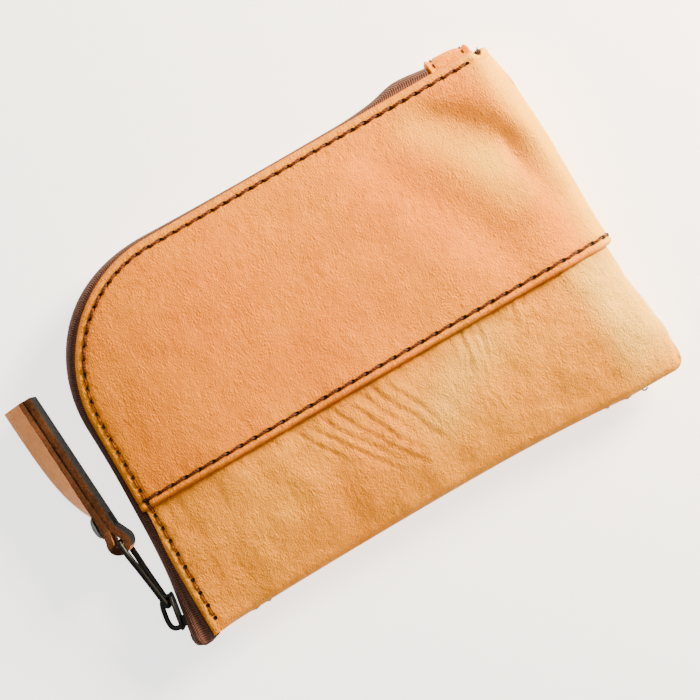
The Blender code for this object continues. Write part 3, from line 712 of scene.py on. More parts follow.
# %% Zip path
ZIP_START = -1.6
ZIP_END = STRAIGHT + ARC + TAB_START - GAP - CORNER
COIL_WIDTH, COIL_THICKNESS, CHAIN_GAP, TAPE = 1.55, 1.6, 1.1, 0.5
CHAIN_KNOTS = [(-1, 4.6), (3.7, 3.9), (8.1, 3.2), (12.5, 2.5), (16, 2.0), (22, 1.5), (30, 1.2),
               (STRAIGHT - 8, 1.0), (STRAIGHT + ARC / 2, 2.0), (STRAIGHT + ARC, 0.4),
               (ZIP_END - 24, 0.1), (ZIP_END - 15, 0.8), (ZIP_END - 8, 2.2), (ZIP_END, 1.5)]


def edge_frame(s):
    """Place on the leather's zipped edge and the outward direction there."""
    if s < STRAIGHT:
        return Vector((0, s)), Vector((-1, 0))
    if s < STRAIGHT + ARC:
        a = (s - STRAIGHT) / CORNER
        out = Vector((-math.cos(a), math.sin(a)))
        return Vector((CORNER, STRAIGHT)) + out * CORNER, out
    return Vector((CORNER + s - STRAIGHT - ARC, HEIGHT)), Vector((0, 1))


def chain_out(s):
    return curve_through(CHAIN_KNOTS, s)


def path_point(s, n, z):
    """A point n mm outside the leather's edge and z mm above the middle plane."""
    edge, out = edge_frame(s)
    spot = edge + out * n
    return place(spot.x, spot.y, z)


def path_at_top(x):
    return STRAIGHT + ARC + x - CORNER


print(f"zip {ZIP_END - ZIP_START:.0f} mm long")

# %% [markdown]
# ## Woven tape
# The zip's tape is polyester, woven in a fine herringbone about 0.4 mm wide: dull brown yarns
# (roughness 0.85) with a little sheen. It is drawn with ribs of 0.55 mm so that they show. Its
# pattern follows the tape, so it is laid out on UVs that hold millimetres along and across.

# %% Tape finish


def woven_tape(name, light, dark, rib):
    made, tree, shader = finish_of(name)
    uv = add(tree, "TexCoord").outputs["UV"]
    split = add(tree, "SeparateXYZ", {"Vector": uv})
    zigzag = add(tree, "Math", {"operation": "PINGPONG", 0: split.outputs["Y"], 1: 1.2})
    slant = add(tree, "Math", {"operation": "MULTIPLY_ADD", 0: zigzag.outputs[0], 1: 0.7,
                               2: split.outputs["X"]})
    turns = add(tree, "Math", {"operation": "MULTIPLY", 0: slant.outputs[0],
                               1: 2 * math.pi / rib})
    ribs = add(tree, "Math", {"operation": "SINE", 0: turns.outputs[0]})
    across = add(tree, "Math", {"operation": "SINE", 0: add(tree, "Math", {
        "operation": "MULTIPLY", 0: split.outputs["Y"], 1: 2 * math.pi / (0.8 * rib)}).outputs[0]})
    weave = add(tree, "Math", {"operation": "MULTIPLY_ADD", 0: across.outputs[0], 1: 0.5,
                               2: ribs.outputs[0]})
    fuzz = add(tree, "TexNoise", {"Vector": add(tree, "TexCoord").outputs["Object"],
                                  "Scale": per_mm(0.7), "Detail": 3.0})
    mixed = add(tree, "Math", {"operation": "MULTIPLY_ADD", 0: fuzz.outputs["Fac"], 1: 2.4,
                               2: weave.outputs[0]})
    level = add(tree, "MapRange", {"Value": mixed.outputs[0], "From Min": -0.3, "From Max": 2.7})
    colour = add(tree, "MixRGB", {"Fac": level.outputs[0], "Color1": linear(dark),
                                  "Color2": linear(light)})
    tree.links.new(colour.outputs[0], shader.inputs["Base Color"])
    bump = add(tree, "Bump", {"Height": mixed.outputs[0], "Strength": 0.8, "Distance": 0.00012})
    tree.links.new(bump.outputs[0], shader.inputs["Normal"])
    shader.inputs["Roughness"].default_value = 0.85
    shader.inputs["Sheen Weight"].default_value = 0.05
    shader.inputs["Specular IOR Level"].default_value = 0.15
    return made


TAPE_FINISH = woven_tape("polyester_tape_woven", "#7c5548", "#3e2822", 0.55)
print("tape finish:", TAPE_FINISH.name)

# %% [markdown]
# The tape comes out from under the leather, climbs down beside its edge and ends just outside the
# coil. Each section is a smooth curve through six points, thickened by half the tape each way. One
# tape runs along the front and one along the back.

# %% Tape sections


def tape_height(s, inward=0):
    edge, out = edge_frame(max(s, 0))
    spot = edge - out * inward
    inset = lap_inset(spot.y) * (1 - smooth((spot.y - SEAM_Y - 5.2) / 6))
    return front_height(spot.x, spot.y) - inset - LEATHER - GAP - TAPE / 2


def tape_line(s, count):
    """Middle of the tape across one section: distance out and height, from the coil inwards."""
    n = chain_out(s)
    z = tape_height(s)
    under = 2.2 + 2.6 * smooth(s / 9)
    start = CHAIN_GAP / 2 + COIL_WIDTH + 1.5 * GAP
    climb = z - start
    knots = [(0, (n + 0.5, 0.35)), (0.12, (n + 0.45, 1.6)),
             (0.24, (0.85 * n + 0.1, start + 0.4 * max(climb, 0))),
             (0.45, (0.5 * n - 0.1, start + climb * (0.75 if climb > 0 else 0.5))),
             (0.6, (-0.6, z)), (1, (-under, tape_height(s, under) - 0.15))]
    if s < 0.8:
        middle, wide = 0.5 * n, math.sqrt(1 - ((0.8 - s) / 2.45) ** 2)
        knots = [(t, (middle + (p[0] - middle) * wide, p[1] * (0.6 + 0.4 * wide)))
                 for t, p in knots]
    return [Vector((curve_through([(t, p[0]) for t, p in knots], u),
                    curve_through([(t, p[1]) for t, p in knots], u)))
            for u in spread(0, 1, count)]


def tape_section(s, side):
    line = tape_line(s, 17)
    last = len(line) - 1
    outer, inner = [], []
    for i, point in enumerate(line):
        along = (line[min(i + 1, last)] - line[max(i - 1, 0)]).normalized()
        out = Vector((along.y, -along.x)) * TAPE / 2
        outer.append(point + out)
        inner.append(point - out)
    return [path_point(s, p.x, side * p.y) for p in outer + inner[::-1]]


def loft(name, rings, finishes, slot_of=None):
    """Closed solid through rings of points, with UVs in mm along and round, and its ends capped."""
    count = len(rings[0])
    faces = []
    for r in range(len(rings) - 1):
        for i in range(count):
            j = (i + 1) % count
            faces.append([r * count + i, r * count + j, (r + 1) * count + j, (r + 1) * count + i])
    sides = len(faces)
    for base in (0, (len(rings) - 1) * count):
        ring = list(range(base, base + count))
        faces += [[ring[i], ring[i + 1], ring[count - 2 - i], ring[count - 1 - i]]
                  for i in range(count // 2 - 1)]
    mesh = bpy.data.meshes.new(name)
    mesh.from_pydata([tuple(p) for ring in rings for p in ring], [], faces)
    layer = mesh.uv_layers.new(name="mm")
    alongs, rounds = [0.0], [0.0]
    for a, b in zip(rings, rings[1:]):
        alongs.append(alongs[-1] + (b[0] - a[0]).length * 1000)
    for a, b in zip(rings[0], rings[0][1:] + rings[0][:1]):
        rounds.append(rounds[-1] + (b - a).length * 1000)
    for f, face in enumerate(mesh.polygons):
        for k, corner in enumerate(face.loop_indices):
            vertex = mesh.loops[corner].vertex_index
            r, i = divmod(vertex, count)
            wrap = f < sides and i == 0 and k in (1, 2)
            layer.data[corner].uv = (alongs[r], rounds[count] if wrap else rounds[i])
        if slot_of:
            face.material_index = slot_of(f // count, f % count) if f < sides else slot_of(-1, -1)
    work = bmesh.new()
    work.from_mesh(mesh)
    bmesh.ops.recalc_face_normals(work, faces=work.faces)
    work.to_mesh(mesh)
    work.free()
    return piece(name, mesh, finishes, 50)


tape_stations = spread(ZIP_START, ZIP_END, 30 + round(150 / (0.8)))
front_tape = loft("front_zip_tape_woven", [tape_section(s, 1) for s in tape_stations], [TAPE_FINISH])
back_tape = loft("back_zip_tape_woven", [tape_section(s, -1) for s in tape_stations], [TAPE_FINISH])
bend_at_mouth(front_tape, "front_tape_start", "front_zip_tape", "front_tape_end")
carry(back_tape, "shell", "back_zip_tape")
print("tape sections:", len(tape_stations))

# %% [markdown]
# ## Nylon coil
# The teeth of this zip are two spirals of nylon wire, 0.64 mm thick with a turn every 1.4 mm,
# dyed to match the tape (a plastic: IOR 1.53, roughness near 0.4). A spiral is one long tube: its
# middle line circles while it walks along the path, and a small ring is swept round that line.

# %% Nylon finish and a tube helper


def plastic_wire(name, colour, dark):
    made, tree, shader = finish_of(name)
    where = add(tree, "TexCoord").outputs["Object"]
    dust = add(tree, "TexNoise", {"Vector": where, "Scale": per_mm(1.2), "Detail": 3.0})
    tone = add(tree, "MixRGB", {"Fac": dust.outputs["Fac"], "Color1": linear(dark),
                                "Color2": linear(colour)})
    tree.links.new(tone.outputs[0], shader.inputs["Base Color"])
    rough = add(tree, "MapRange", {"Value": dust.outputs["Fac"], "To Min": 0.55, "To Max": 0.32})
    tree.links.new(rough.outputs[0], shader.inputs["Roughness"])
    shader.inputs["IOR"].default_value = 1.53
    return made


def tubes(name, lines, radius, finish, sides=6):
    """Round bars along lists of points, as one mesh; radius is in mm, or a function of place 0 to 1."""
    verts, faces = [], []
    for line in lines:
        base = len(verts)
        normal = None
        for i, point in enumerate(line):
            along = (line[min(i + 1, len(line) - 1)] - line[max(i - 1, 0)]).normalized()
            guess = normal if normal is not None else Vector((0.31, 0.17, 0.93))
            normal = (guess - along * guess.dot(along)).normalized()
            other = along.cross(normal)
            thick = 0.001 * (radius(i / (len(line) - 1)) if callable(radius) else radius)
            for k in range(sides):
                a = 2 * math.pi * k / sides
                verts.append(point + (normal * math.cos(a) + other * math.sin(a)) * thick)
        for i in range(len(line) - 1):
            for k in range(sides):
                a, b = base + i * sides + k, base + i * sides + (k + 1) % sides
                faces.append([a, b, b + sides, a + sides])
        faces.append([base + k for k in reversed(range(sides))])
        faces.append([base + (len(line) - 1) * sides + k for k in range(sides)])
    mesh = bpy.data.meshes.new(name)
    mesh.from_pydata([tuple(v) for v in verts], [], faces)
    return piece(name, mesh, [finish], 60)


NYLON = plastic_wire("nylon_coil_dyed", "#45281f", "#1c0e0a")
print("coil finish:", NYLON.name)

# %% Wind the two coils
COIL_WIRE, COIL_PITCH, COIL_START = 0.32, 1.4, 2.6
BEHIND_TAPE = 0.6


def coil_line(side):
    turns = (ZIP_END - COIL_START) / COIL_PITCH
    count = round(turns * (12))
    wide, thick = COIL_WIDTH / 2 - COIL_WIRE, COIL_THICKNESS / 2 - COIL_WIRE
    middle = side * (CHAIN_GAP + COIL_WIDTH) / 2
    points = []
    for i in range(count + 1):
        s = COIL_START + (ZIP_END - COIL_START) * i / count
        a = 2 * math.pi * turns * i / count + (0 if side > 0 else math.pi)
        n = chain_out(s) - BEHIND_TAPE + thick * math.cos(a)
        points.append(path_point(s, n, middle + wide * math.sin(a)))
    return points


front_coil = tubes("front_coil_wire", [coil_line(1)], COIL_WIRE, NYLON)
back_coil = tubes("back_coil_wire", [coil_line(-1)], COIL_WIRE, NYLON)
bend_at_mouth(front_coil, "front_coil_start", "front_zip_coil", "front_coil_end")
carry(back_coil, "shell", "back_zip_coil")
print("turns in each coil:", round((ZIP_END - COIL_START) / COIL_PITCH))

# %% [markdown]
# ## Waxed thread
# Linen thread, waxed dark brown (roughness 0.75) and drawn 0.76 mm thick so that it shows, or in
# fine pairs of 0.22 mm down the left side. A stitch comes up through one hole of the row and goes
# down the next, lying slightly aslant. Each is a short bent tube, and each needle hole a small
# cup pressed into the leather, open towards the eye, and coloured near black as painted shade.

# %% Thread finish and stitches


def waxed_thread(name, colour, dark):
    made, tree, shader = finish_of(name)
    where = add(tree, "TexCoord").outputs["Object"]
    strand = add(tree, "TexWave", {"Vector": where, "Scale": per_mm(1.4), "Distortion": 3.0,
                                   "Detail": 2.0, "bands_direction": "DIAGONAL"})
    tone = add(tree, "MixRGB", {"Fac": strand.outputs["Fac"], "Color1": linear(dark),
                                "Color2": linear(colour)})
    tree.links.new(tone.outputs[0], shader.inputs["Base Color"])
    bump = add(tree, "Bump", {"Height": strand.outputs["Fac"], "Strength": 0.6,
                              "Distance": 0.0001})
    tree.links.new(bump.outputs[0], shader.inputs["Normal"])
    shader.inputs["Roughness"].default_value = 0.75
    shader.inputs["Specular IOR Level"].default_value = 0.2
    return made


THREAD = waxed_thread("linen_thread_waxed", "#6c3a18", "#341a0a")
# the needle holes are near black: painted shade in the hole
HOLE_SHADE = waxed_thread("needle_hole", "#120906", "#040202")


def skin_top(x, y, side, level, lift):
    """Place on the grain side, lifted along its slope."""
    spot = flat_point(x, y, side, level, x)[0] + Vector((0, 0, side * lift * 0.001))
    spot.z = max(spot.z, REST_GAP * 0.001)
    return spot


# how far along a stitch, and how high over the leather: up through a hole, across, down the next
ZIP_STITCH = ((0.16, -0.3), (0.27, 0.1), (0.5, 0.26), (0.75, 0.22), (0.92, 0.04), (1.0, -0.3))
SEAM_STITCH = ((0.16, -0.3), (0.27, 0.1), (0.5, 0.28), (0.75, 0.24), (0.92, 0.05), (1.0, -0.3))
HEAVY_FROM = 0.45


def stitch_places(start, end, pitch):
    count = round((end - start) / pitch)
    return [start + (end - start) * i / count for i in range(count + 1)]


def zip_spot(s, inward, side, lift):
    edge, out = edge_frame(s)
    spot = edge - out * inward
    level = "upper" if spot.y > SEAM_Y - TURNED_EDGE else "lower"
    return skin_top(spot.x, spot.y, side, level, lift)


def holes(name, spots, radius):
    """Small cups coloured near black as painted shade: spots are (place, long direction,
    outward direction, how long).
    """
    verts, faces = [], []
    count = 10
    for spot, along, out, long in spots:
        base = len(verts)
        side = out.cross(along).normalized()
        for ring, depth in ((1.0, 0.05), (0.75, -0.02), (0.35, -0.10), (0.9, -0.25)):
            for k in range(count):
                a = 2 * math.pi * k / count
                wide = long * math.cos(a) * along + math.sin(a) * side
                verts.append(spot + (wide * ring * radius + out * depth) * 0.001)
        inside, rim = base + 2 * count, base + 3 * count
        for k in range(count):
            after = (k + 1) % count
            for low in (base, base + count):
                faces.append([low + k, low + after, low + count + after, low + count + k])
            faces.append([base + after, base + k, rim + k, rim + after])
        faces.append([inside + k for k in range(count)])
        faces.append([rim + k for k in reversed(range(count))])
    mesh = bpy.data.meshes.new(name)
    mesh.from_pydata([tuple(v) for v in verts], [], faces)
    return piece(name, mesh, [HOLE_SHADE], 60)


def zip_row(side, start, end):
    """Stitches along the zip: heavy slanting ones over the top, fine pairs down the left side."""
    marks = stitch_places(start, end, ZIP_PITCH)
    heavy, fine, spots = [], [], []
    for s, following in zip(marks, marks[1:]):
        on_top = smooth((s - STRAIGHT) / 25)
        span = following - s
        slant = 0.30 * on_top
        for offset, bundle in ((0.0, heavy), (-0.26, fine), (0.24, fine)):
            if (bundle is heavy) != (on_top > HEAVY_FROM):
                continue
            bundle.append([
                zip_spot(s + span * t, ZIP_ROW + offset + slant * (1 - 2 * t), side, lift)
                for t, lift in ZIP_STITCH])
    for s in marks:
        before, after = (zip_spot(s + d, ZIP_ROW, side, 0) for d in (-0.4, 0.4))
        spots.append((zip_spot(s + 0.12, ZIP_ROW, side, 0.2), (after - before).normalized(),
                      Vector((0, 0, side)), 1.0 if s < STRAIGHT + 10 else 1.5))
    return heavy, fine, spots


front_heavy, front_fine, front_holes = zip_row(1, 3.2, path_at_top(TAB_START + TAB_LENGTH - 3))
back_heavy, back_fine, back_holes = zip_row(-1, 8.0, path_at_top(TAB_START + TAB_LENGTH - 3))
print("stitches along the zip:", len(front_holes) - 1)

# %% [markdown]
# The seam's stitches cross the whole front, about thirty of them, and the same again on the back.

# %% Seam stitches and needle holes


def seam_top(u, off, side, lift):
    """Place on the upper panel by the seam; past the front it goes on round the side fold."""
    y = SEAM_Y + off
    roll = fold_start(y)
    if u <= roll:
        return skin_top(u, y, side, "upper", lift)
    angle = math.pi * (u - roll) / roll_length(y)
    point, below = roll_point(angle if side > 0 else math.pi - angle, y, "upper", u)
    spot = point + (point - below).normalized() * lift * 0.001
    spot.z = max(spot.z, REST_GAP * 0.001)
    return spot


def seam_row(side):
    end = fold_start(SEAM_Y) + (0.42 if side > 0 else 0.1) * roll_length(SEAM_Y)
    marks = stitch_places(1.8 if side > 0 else 4.0, end, SEAM_PITCH)
    lines, spots = [], []
    for x, following in zip(marks, marks[1:]):
        span = following - x
        lines.append([seam_top(x + span * t, 0.24 * (2 * t - 1), side, lift)
                      for t, lift in SEAM_STITCH])
    for x in marks:
        before, after = (seam_top(x + d, 0, side, 0) for d in (-0.4, 0.4))
        here = seam_top(x + 0.15, 0, side, 0.2)
        rise = here - seam_top(x + 0.15, 0, side, 0)
        out = rise.normalized() if rise.length > 0.00005 else Vector((0, 0, side))
        spots.append((here, (after - before).normalized(), out, 1.5))
    return lines, spots


front_seam, front_seam_holes = seam_row(1)
back_seam, back_seam_holes = seam_row(-1)
front_thread = tubes("front_zip_stitches", front_heavy, 0.38, THREAD)
front_twin = tubes("front_zip_twin_stitches", front_fine, 0.11, THREAD)
seam_thread = tubes("front_seam_stitches", front_seam, 0.38, THREAD)
front_cups = holes("front_needle_holes", front_holes + front_seam_holes, 0.5)
back_thread = tubes("back_zip_stitches", back_heavy, 0.25, THREAD)
back_twin = tubes("back_zip_twin_stitches", back_fine, 0.10, THREAD)
back_seam_thread = tubes("back_seam_stitches", back_seam, 0.26, THREAD)
back_cups = holes("back_needle_holes", back_holes + back_seam_holes, 0.42)
bend_at_mouth(front_thread, "front_zip_thread", "front_zip_thread_end")
bend_at_mouth(front_twin, "front_zip_thread_start")
bend_at_mouth(seam_thread, "front_seam_thread", "front_seam_thread_corner")
bend_at_mouth(front_cups)
carry(back_thread, "shell", "back_zip_thread")
carry(back_twin, "shell")
carry(back_seam_thread, "shell", "back_seam_thread")
carry(back_cups, "shell")
print("seam stitches:", len(front_seam))

# %% [markdown]
# The bottom seam was sewn inside out, so only glimpses of its thread show where the two edges meet.

# %% Bottom seam glimpses
glimpses = []
for middle, length in ((11, 3.0), (14.5, 1.6), (103, 1.5), (108, 2.2), (112.5, 1.4)):
    ends = (middle - length / 2, middle, middle + length / 2)
    glimpses.append([place(x, bottom_bow(x, 0) + 0.25 - 0.35 * (i == 1), 0.1 * i)
                     for i, x in enumerate(ends)])
bottom_thread = tubes("bottom_seam_stitches", glimpses, 0.2, THREAD)
carry(bottom_thread, "shell", "bottom_seam_thread")
print("glimpses of thread:", len(glimpses))

# %% [markdown]
# ## End patch and the frayed tape
# A patch of the same leather covers the zip's end, arched over it and sewn at both ends; behind it
# the tape comes out in a short frayed tuft. The patch is lofted through arches, with its grain
# outside and its edges cut. The tuft is a fan of thin yarns of random length.

# %% End patch


def arch(s, out, half, inward, thickness):
    """Section of the patch, from under one panel over the zip to under the other."""
    angles = spread(-math.pi / 2, math.pi / 2, 17)

    def line(shrink):
        round_top = [((out - shrink) * math.cos(a), (half - shrink) * math.sin(a)) for a in angles]
        return [(-inward, -(half - shrink))] + round_top + [(-inward, half - shrink)]

    return [path_point(s, n, z) for n, z in line(0) + line(thickness)[::-1]]


PATCH_HALF = tape_height(path_at_top(TAB_START)) + TAPE / 2 - 0.75
PATCH_BULGE = [(0, 3.3), (0.33, 3.4), (0.66, 3.1), (1, 2.3)]
PATCH_HALVES = [(0, 1.0), (0.33, 1.0), (0.66, 0.97), (1, 0.86)]
PATCH_ROW = 1.7


def both_ends(along, inset, width):
    """A mark at the same distance in from each end of the patch."""
    return bell(along - inset, width) + bell(TAB_LENGTH - along - inset, width)


rings = []
for t in spread(0, 1, 25):
    along = TAB_LENGTH * t
    s = path_at_top(TAB_START) + along
    stitch = both_ends(along, PATCH_ROW, 0.5)
    rounded = 0.3 * both_ends(along, 0, 0.2) - 0.35 * both_ends(along, 0.6, 0.4)
    out = curve_through(PATCH_BULGE, t) - 0.4 * stitch - rounded
    half = PATCH_HALF * curve_through(PATCH_HALVES, t) - 0.15 * stitch - rounded
    rings.append(arch(s, out, half, 3.0, 0.9))
patch = loft("zip_end_patch", rings, [UPPER_LEATHER, CUT_EDGE], slot_of=lambda r, i: 1 if i < 0 else 0)
carry(patch, "shell", "zip_end_tab")
print("patch sections:", len(rings))

# %% Patch stitches and frayed tape
patch_lines = []
for along in (PATCH_ROW, TAB_LENGTH - PATCH_ROW):
    t = along / TAB_LENGTH
    out, half = curve_through(PATCH_BULGE, t) - 0.1, PATCH_HALF * curve_through(PATCH_HALVES, t)
    s = path_at_top(TAB_START) + along
    for low in spread(-1.3, 0.9, 4):
        patch_lines.append([path_point(s, (out + lift) * math.cos(a), (half + lift) * math.sin(a))
                            for a, lift in ((low, -0.2), (low + 0.12, 0.1), (low + 0.26, 0.1),
                                            (low + 0.38, -0.2))])
patch_thread = tubes("patch_stitches", patch_lines, 0.2, THREAD)
carry(patch_thread, "shell", "end_tab_thread_left", "end_tab_thread_right")
yarns = []
for i in range(90):
    height = random.uniform(-1.1, 4.2)
    x = TAB_START + TAB_LENGTH + random.uniform(0.1, 1.7)
    base = Vector((path_at_top(x), random.uniform(-3.4, -2.6), height))
    tip = base + Vector((random.uniform(-0.4, 0.5), random.uniform(1.2, 2.9), random.uniform(-0.5, 0.8)))
    middle = (base + tip) / 2 + Vector((random.uniform(-0.3, 0.3), 0, random.uniform(-0.2, 0.3)))
    yarns.append([path_point(*base), path_point(*middle), path_point(*tip)])
tuft = tubes("frayed_tape_tuft", yarns, 0.17, NYLON, 5)
carry(tuft, "shell", "zip_tape_tail")
print("yarns in the tuft:", len(yarns))

# %% [markdown]
# ## Blackened metal
# Slider, link and rivet post are brass or zinc blackened in a bath and left to rub bright again on
# their edges: a metal (metallic 1, default IOR) that reads almost black, with grey where it is worn.
# Pointiness finds the sharp places of a mesh, so the rubbed edges come from the shape itself. The
# oxide also dulls what a bare metal would mirror at a glancing angle: that is the specular tint.

# %% Metal finishes


def rubbed_metal(name, body, worn, rim, roughness, rub):
    made, tree, shader = finish_of(name)
    where = add(tree, "TexCoord").outputs["Object"]
    shape = add(tree, "NewGeometry")
    grime = add(tree, "TexNoise", {"Vector": where, "Scale": per_mm(1.5), "Detail": 4.0,
                                   "Roughness": 0.65})
    edge = add(tree, "MapRange", {"Value": shape.outputs["Pointiness"], "From Min": 0.5,
                                  "From Max": 0.56, "To Max": rub})
    patchy = add(tree, "Math", {"operation": "MULTIPLY", 0: edge.outputs[0],
                                1: grime.outputs["Fac"]})
    tone = add(tree, "MixRGB", {"Fac": patchy.outputs[0], "Color1": linear(body),
                                "Color2": linear(worn)})
    tree.links.new(tone.outputs[0], shader.inputs["Base Color"])
    gloss = add(tree, "MapRange", {"Value": grime.outputs["Fac"], "To Min": roughness - 0.12,
                                   "To Max": roughness + 0.15})
    tree.links.new(gloss.outputs[0], shader.inputs["Roughness"])
    bump = add(tree, "Bump", {"Height": grime.outputs["Fac"], "Strength": 0.25,
                              "Distance": 0.0002})
    tree.links.new(bump.outputs[0], shader.inputs["Normal"])
    shader.inputs["Metallic"].default_value = 1.0
    shader.inputs["Specular Tint"].default_value = linear(rim)
    return made


BLACK_METAL = rubbed_metal("zinc_blackened", "#1c1d1e", "#5a5a57", "#404040", 0.42, 0.6)
GREY_METAL = rubbed_metal("antique_nickel", "#4c4e4f", "#94948f", "#8c8c8c", 0.36, 0.7)
for node in ("front_top_stop", "back_top_stop", "bottom_stop"):
    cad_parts[node].data.materials[0] = GREY_METAL
print("metals:", BLACK_METAL.name, GREY_METAL.name)

# %% [markdown]
# ## Slider
# A zip slider is two plates joined by a post, with a bail on top for the pull. Its outline is drawn
# flat, blunter where the open coils go in, extruded, and then softened by a bevel modifier. A real
# one also has side flanges, bent in to hold the coils; they are left out, as on the frame's solid.

# %% Slider plates and post
SLIDER_Y, SLIDER_LENGTH, SLIDER_WIDTH = 8.1, 8.9, 6.6
SLIDER_PLATE, INNER_PLATE_WIDTH, WEB = 0.7, 2.4, 0.5
SLIDER_LEAN = math.atan2(chain_out(SLIDER_Y - SLIDER_LENGTH / 2) - chain_out(SLIDER_Y + SLIDER_LENGTH / 2),
                         SLIDER_LENGTH)
SLIDER_ALONG = Vector((math.sin(SLIDER_LEAN), math.cos(SLIDER_LEAN)))
SLIDER_OUT = Vector((-math.cos(SLIDER_LEAN), math.sin(SLIDER_LEAN)))
PLATE_IN = COIL_THICKNESS / 2 + GAP + 0.4
PLATE_OUT = PLATE_IN + SLIDER_PLATE
INNER = -COIL_THICKNESS / 2 - GAP - 1.3


def on_slider(along, out, z):
    spot = Vector((-chain_out(SLIDER_Y), SLIDER_Y)) + SLIDER_ALONG * along + SLIDER_OUT * out
    return place(spot.x, spot.y, z)


def slab(outline, low, high):
    """Points of a plate: an outline of (along, z) pairs between two distances out."""
    return [[on_slider(a, out, z) for a, z in outline] for out in (low, high)]


def solid_from(name, pairs, finish, bevel):
    """One object from several extruded outlines, its edges softened by a bevel."""
    work = bmesh.new()
    for low, high in pairs:
        bottom = [work.verts.new(p) for p in low]
        top = [work.verts.new(p) for p in high]
        work.faces.new(bottom[::-1])
        work.faces.new(top)
        for i in range(len(low)):
            j = (i + 1) % len(low)
            work.faces.new((bottom[i], bottom[j], top[j], top[i]))
    bmesh.ops.recalc_face_normals(work, faces=work.faces)
    mesh = bpy.data.meshes.new(name)
    work.to_mesh(mesh)
    work.free()
    made = piece(name, mesh, [finish], 35)
    soften = made.modifiers.new("soft edges", "BEVEL")
    soften.width = bevel * 0.001
    soften.segments = 3
    soften.limit_method = "ANGLE"
    return made


half, reach = SLIDER_WIDTH / 2, SLIDER_LENGTH / 2
plate = [(-reach, -0.62 * half), (-reach, 0.62 * half), (-0.75 * reach, 0.9 * half),
         (-0.35 * reach, half), (0.55 * reach, half), (0.85 * reach, 0.82 * half),
         (reach, 0.45 * half), (reach, -0.45 * half), (0.85 * reach, -0.82 * half),
         (0.55 * reach, -half), (-0.35 * reach, -half), (-0.75 * reach, -0.9 * half)]
slim = INNER_PLATE_WIDTH / 2
inner_plate = [(-reach, -0.7 * slim), (-reach, 0.7 * slim), (-0.7 * reach, slim), (0.7 * reach, slim),
               (reach, 0.7 * slim), (reach, -0.7 * slim), (0.7 * reach, -slim), (-0.7 * reach, -slim)]
post = [(-reach + 0.5, -WEB / 2), (-reach + 0.5, WEB / 2), (-reach + 3.1, WEB / 2),
        (-reach + 3.1, -WEB / 2)]
slider = solid_from("slider_shell", [slab(plate, PLATE_IN, PLATE_OUT),
                                     slab(inner_plate, INNER - SLIDER_PLATE, INNER),
                                     slab(post, INNER - 0.2, PLATE_IN + 0.2)], BLACK_METAL, 0.16)
carry(slider, "slider", "slider_body")
print(f"slider {SLIDER_LENGTH} x {SLIDER_WIDTH} mm")

# %% [markdown]
# The bail is a bent wire, and the pull's link a closed loop of wire, 1.4 mm thick: both are tubes
# swept along their middle lines. Corners come from a smooth curve through the bend points.

# %% Bail and link
BAIL_HEIGHT, BAIL_REACH, BAIL_RADIUS = 2.5, 3.7, 0.62
LINK_RADIUS, LINK_LENGTH = 0.7, 18.0
LINK_LEAN = math.radians(6.2)
BAR_ALONG, STRAP_WIDTH = 1.9, 8.6


def rounded(points, steps, closed=False):
    """Catmull-Rom curve through the points."""
    found, count = [], len(points)
    last = count if closed else count - 1
    for i in range(last):
        if closed:
            p0, p1, p2, p3 = (points[(i + k) % count] for k in (-1, 0, 1, 2))
        else:
            p0, p1 = points[max(i - 1, 0)], points[i]
            p2, p3 = points[i + 1], points[min(i + 2, count - 1)]
        for k in range(steps):
            t = k / steps
            found.append(0.5 * (2 * p1 + (p2 - p0) * t + (2 * p0 - 5 * p1 + 4 * p2 - p3) * t**2
                                + (3 * p1 - p0 - 3 * p2 + p3) * t**3))
    return found if closed else found + [points[-1]]


half_bail = [(1, -0.3), (1, 1.2), (0.8, 2.1), (0.4, 2.45)]
bail_points = [(-a, o) for a, o in half_bail] + [(0, BAIL_HEIGHT)] + half_bail[::-1]
bail_line = rounded([on_slider(BAIL_REACH * a, PLATE_OUT + o, 0) for a, o in bail_points], 4)
bail = tubes("slider_bail_wire", [bail_line], BAIL_RADIUS, BLACK_METAL, 10)
carry(bail, "slider", "slider_bail")
BAR = Vector((-chain_out(SLIDER_Y), SLIDER_Y)) + SLIDER_ALONG * BAR_ALONG
BAR += SLIDER_OUT * (PLATE_OUT + GAP + LINK_RADIUS)
LINK_ALONG = Vector((-math.sin(LINK_LEAN), math.cos(LINK_LEAN)))
LINK_END = BAR + LINK_ALONG * LINK_LENGTH
near, far = SLIDER_WIDTH / 2 - 0.9, STRAP_WIDTH / 2 + GAP + LINK_RADIUS
half_loop = [(0, near - 1.0), (0.3, near - 0.3), (1.0, near), (LINK_LENGTH / 2, (near + far) / 2),
             (LINK_LENGTH - 4, far), (LINK_LENGTH - 1, far), (LINK_LENGTH - 0.3, far - 0.3),
             (LINK_LENGTH, far - 1.0)]


def on_link(along, z):
    spot = BAR + LINK_ALONG * along
    return place(spot.x, spot.y, z)


loop = rounded([on_link(a, z) for a, z in half_loop] + [on_link(a, -z) for a, z in half_loop[::-1]],
               4, closed=True)
link = tubes("pull_link_wire", [loop + [loop[0]]], LINK_RADIUS, BLACK_METAL, 14)
carry(link, "pull_link", "pull_link")
print("link", LINK_LENGTH, "mm long")

# %% [markdown]
# ## Leather pull
# One strap, 1.65 mm thick, standing on its cut edge: folded round the link, riveted, and its left
# tail twisting open towards the far end. Each section is a rounded strip with the grain outside,
# so the faces get their finish from their place in the ring: outer, inner or cut edge.

# %% Strap
STRAP_LEATHER, STRAP_LENGTH, STRAP_LOOP = 1.3, 38.5, 1.5
RIVET_UP, RIVET_HEAD, RIVET_DOME = 5.3, 2.9, 1.3
STRAP_TILT, TAIL_SPLAY = math.radians(1.0), math.radians(36.0)
STRAP_THICK, STRAP_LEAN = 1.65, 2.4
TAIL_STATIONS = 48


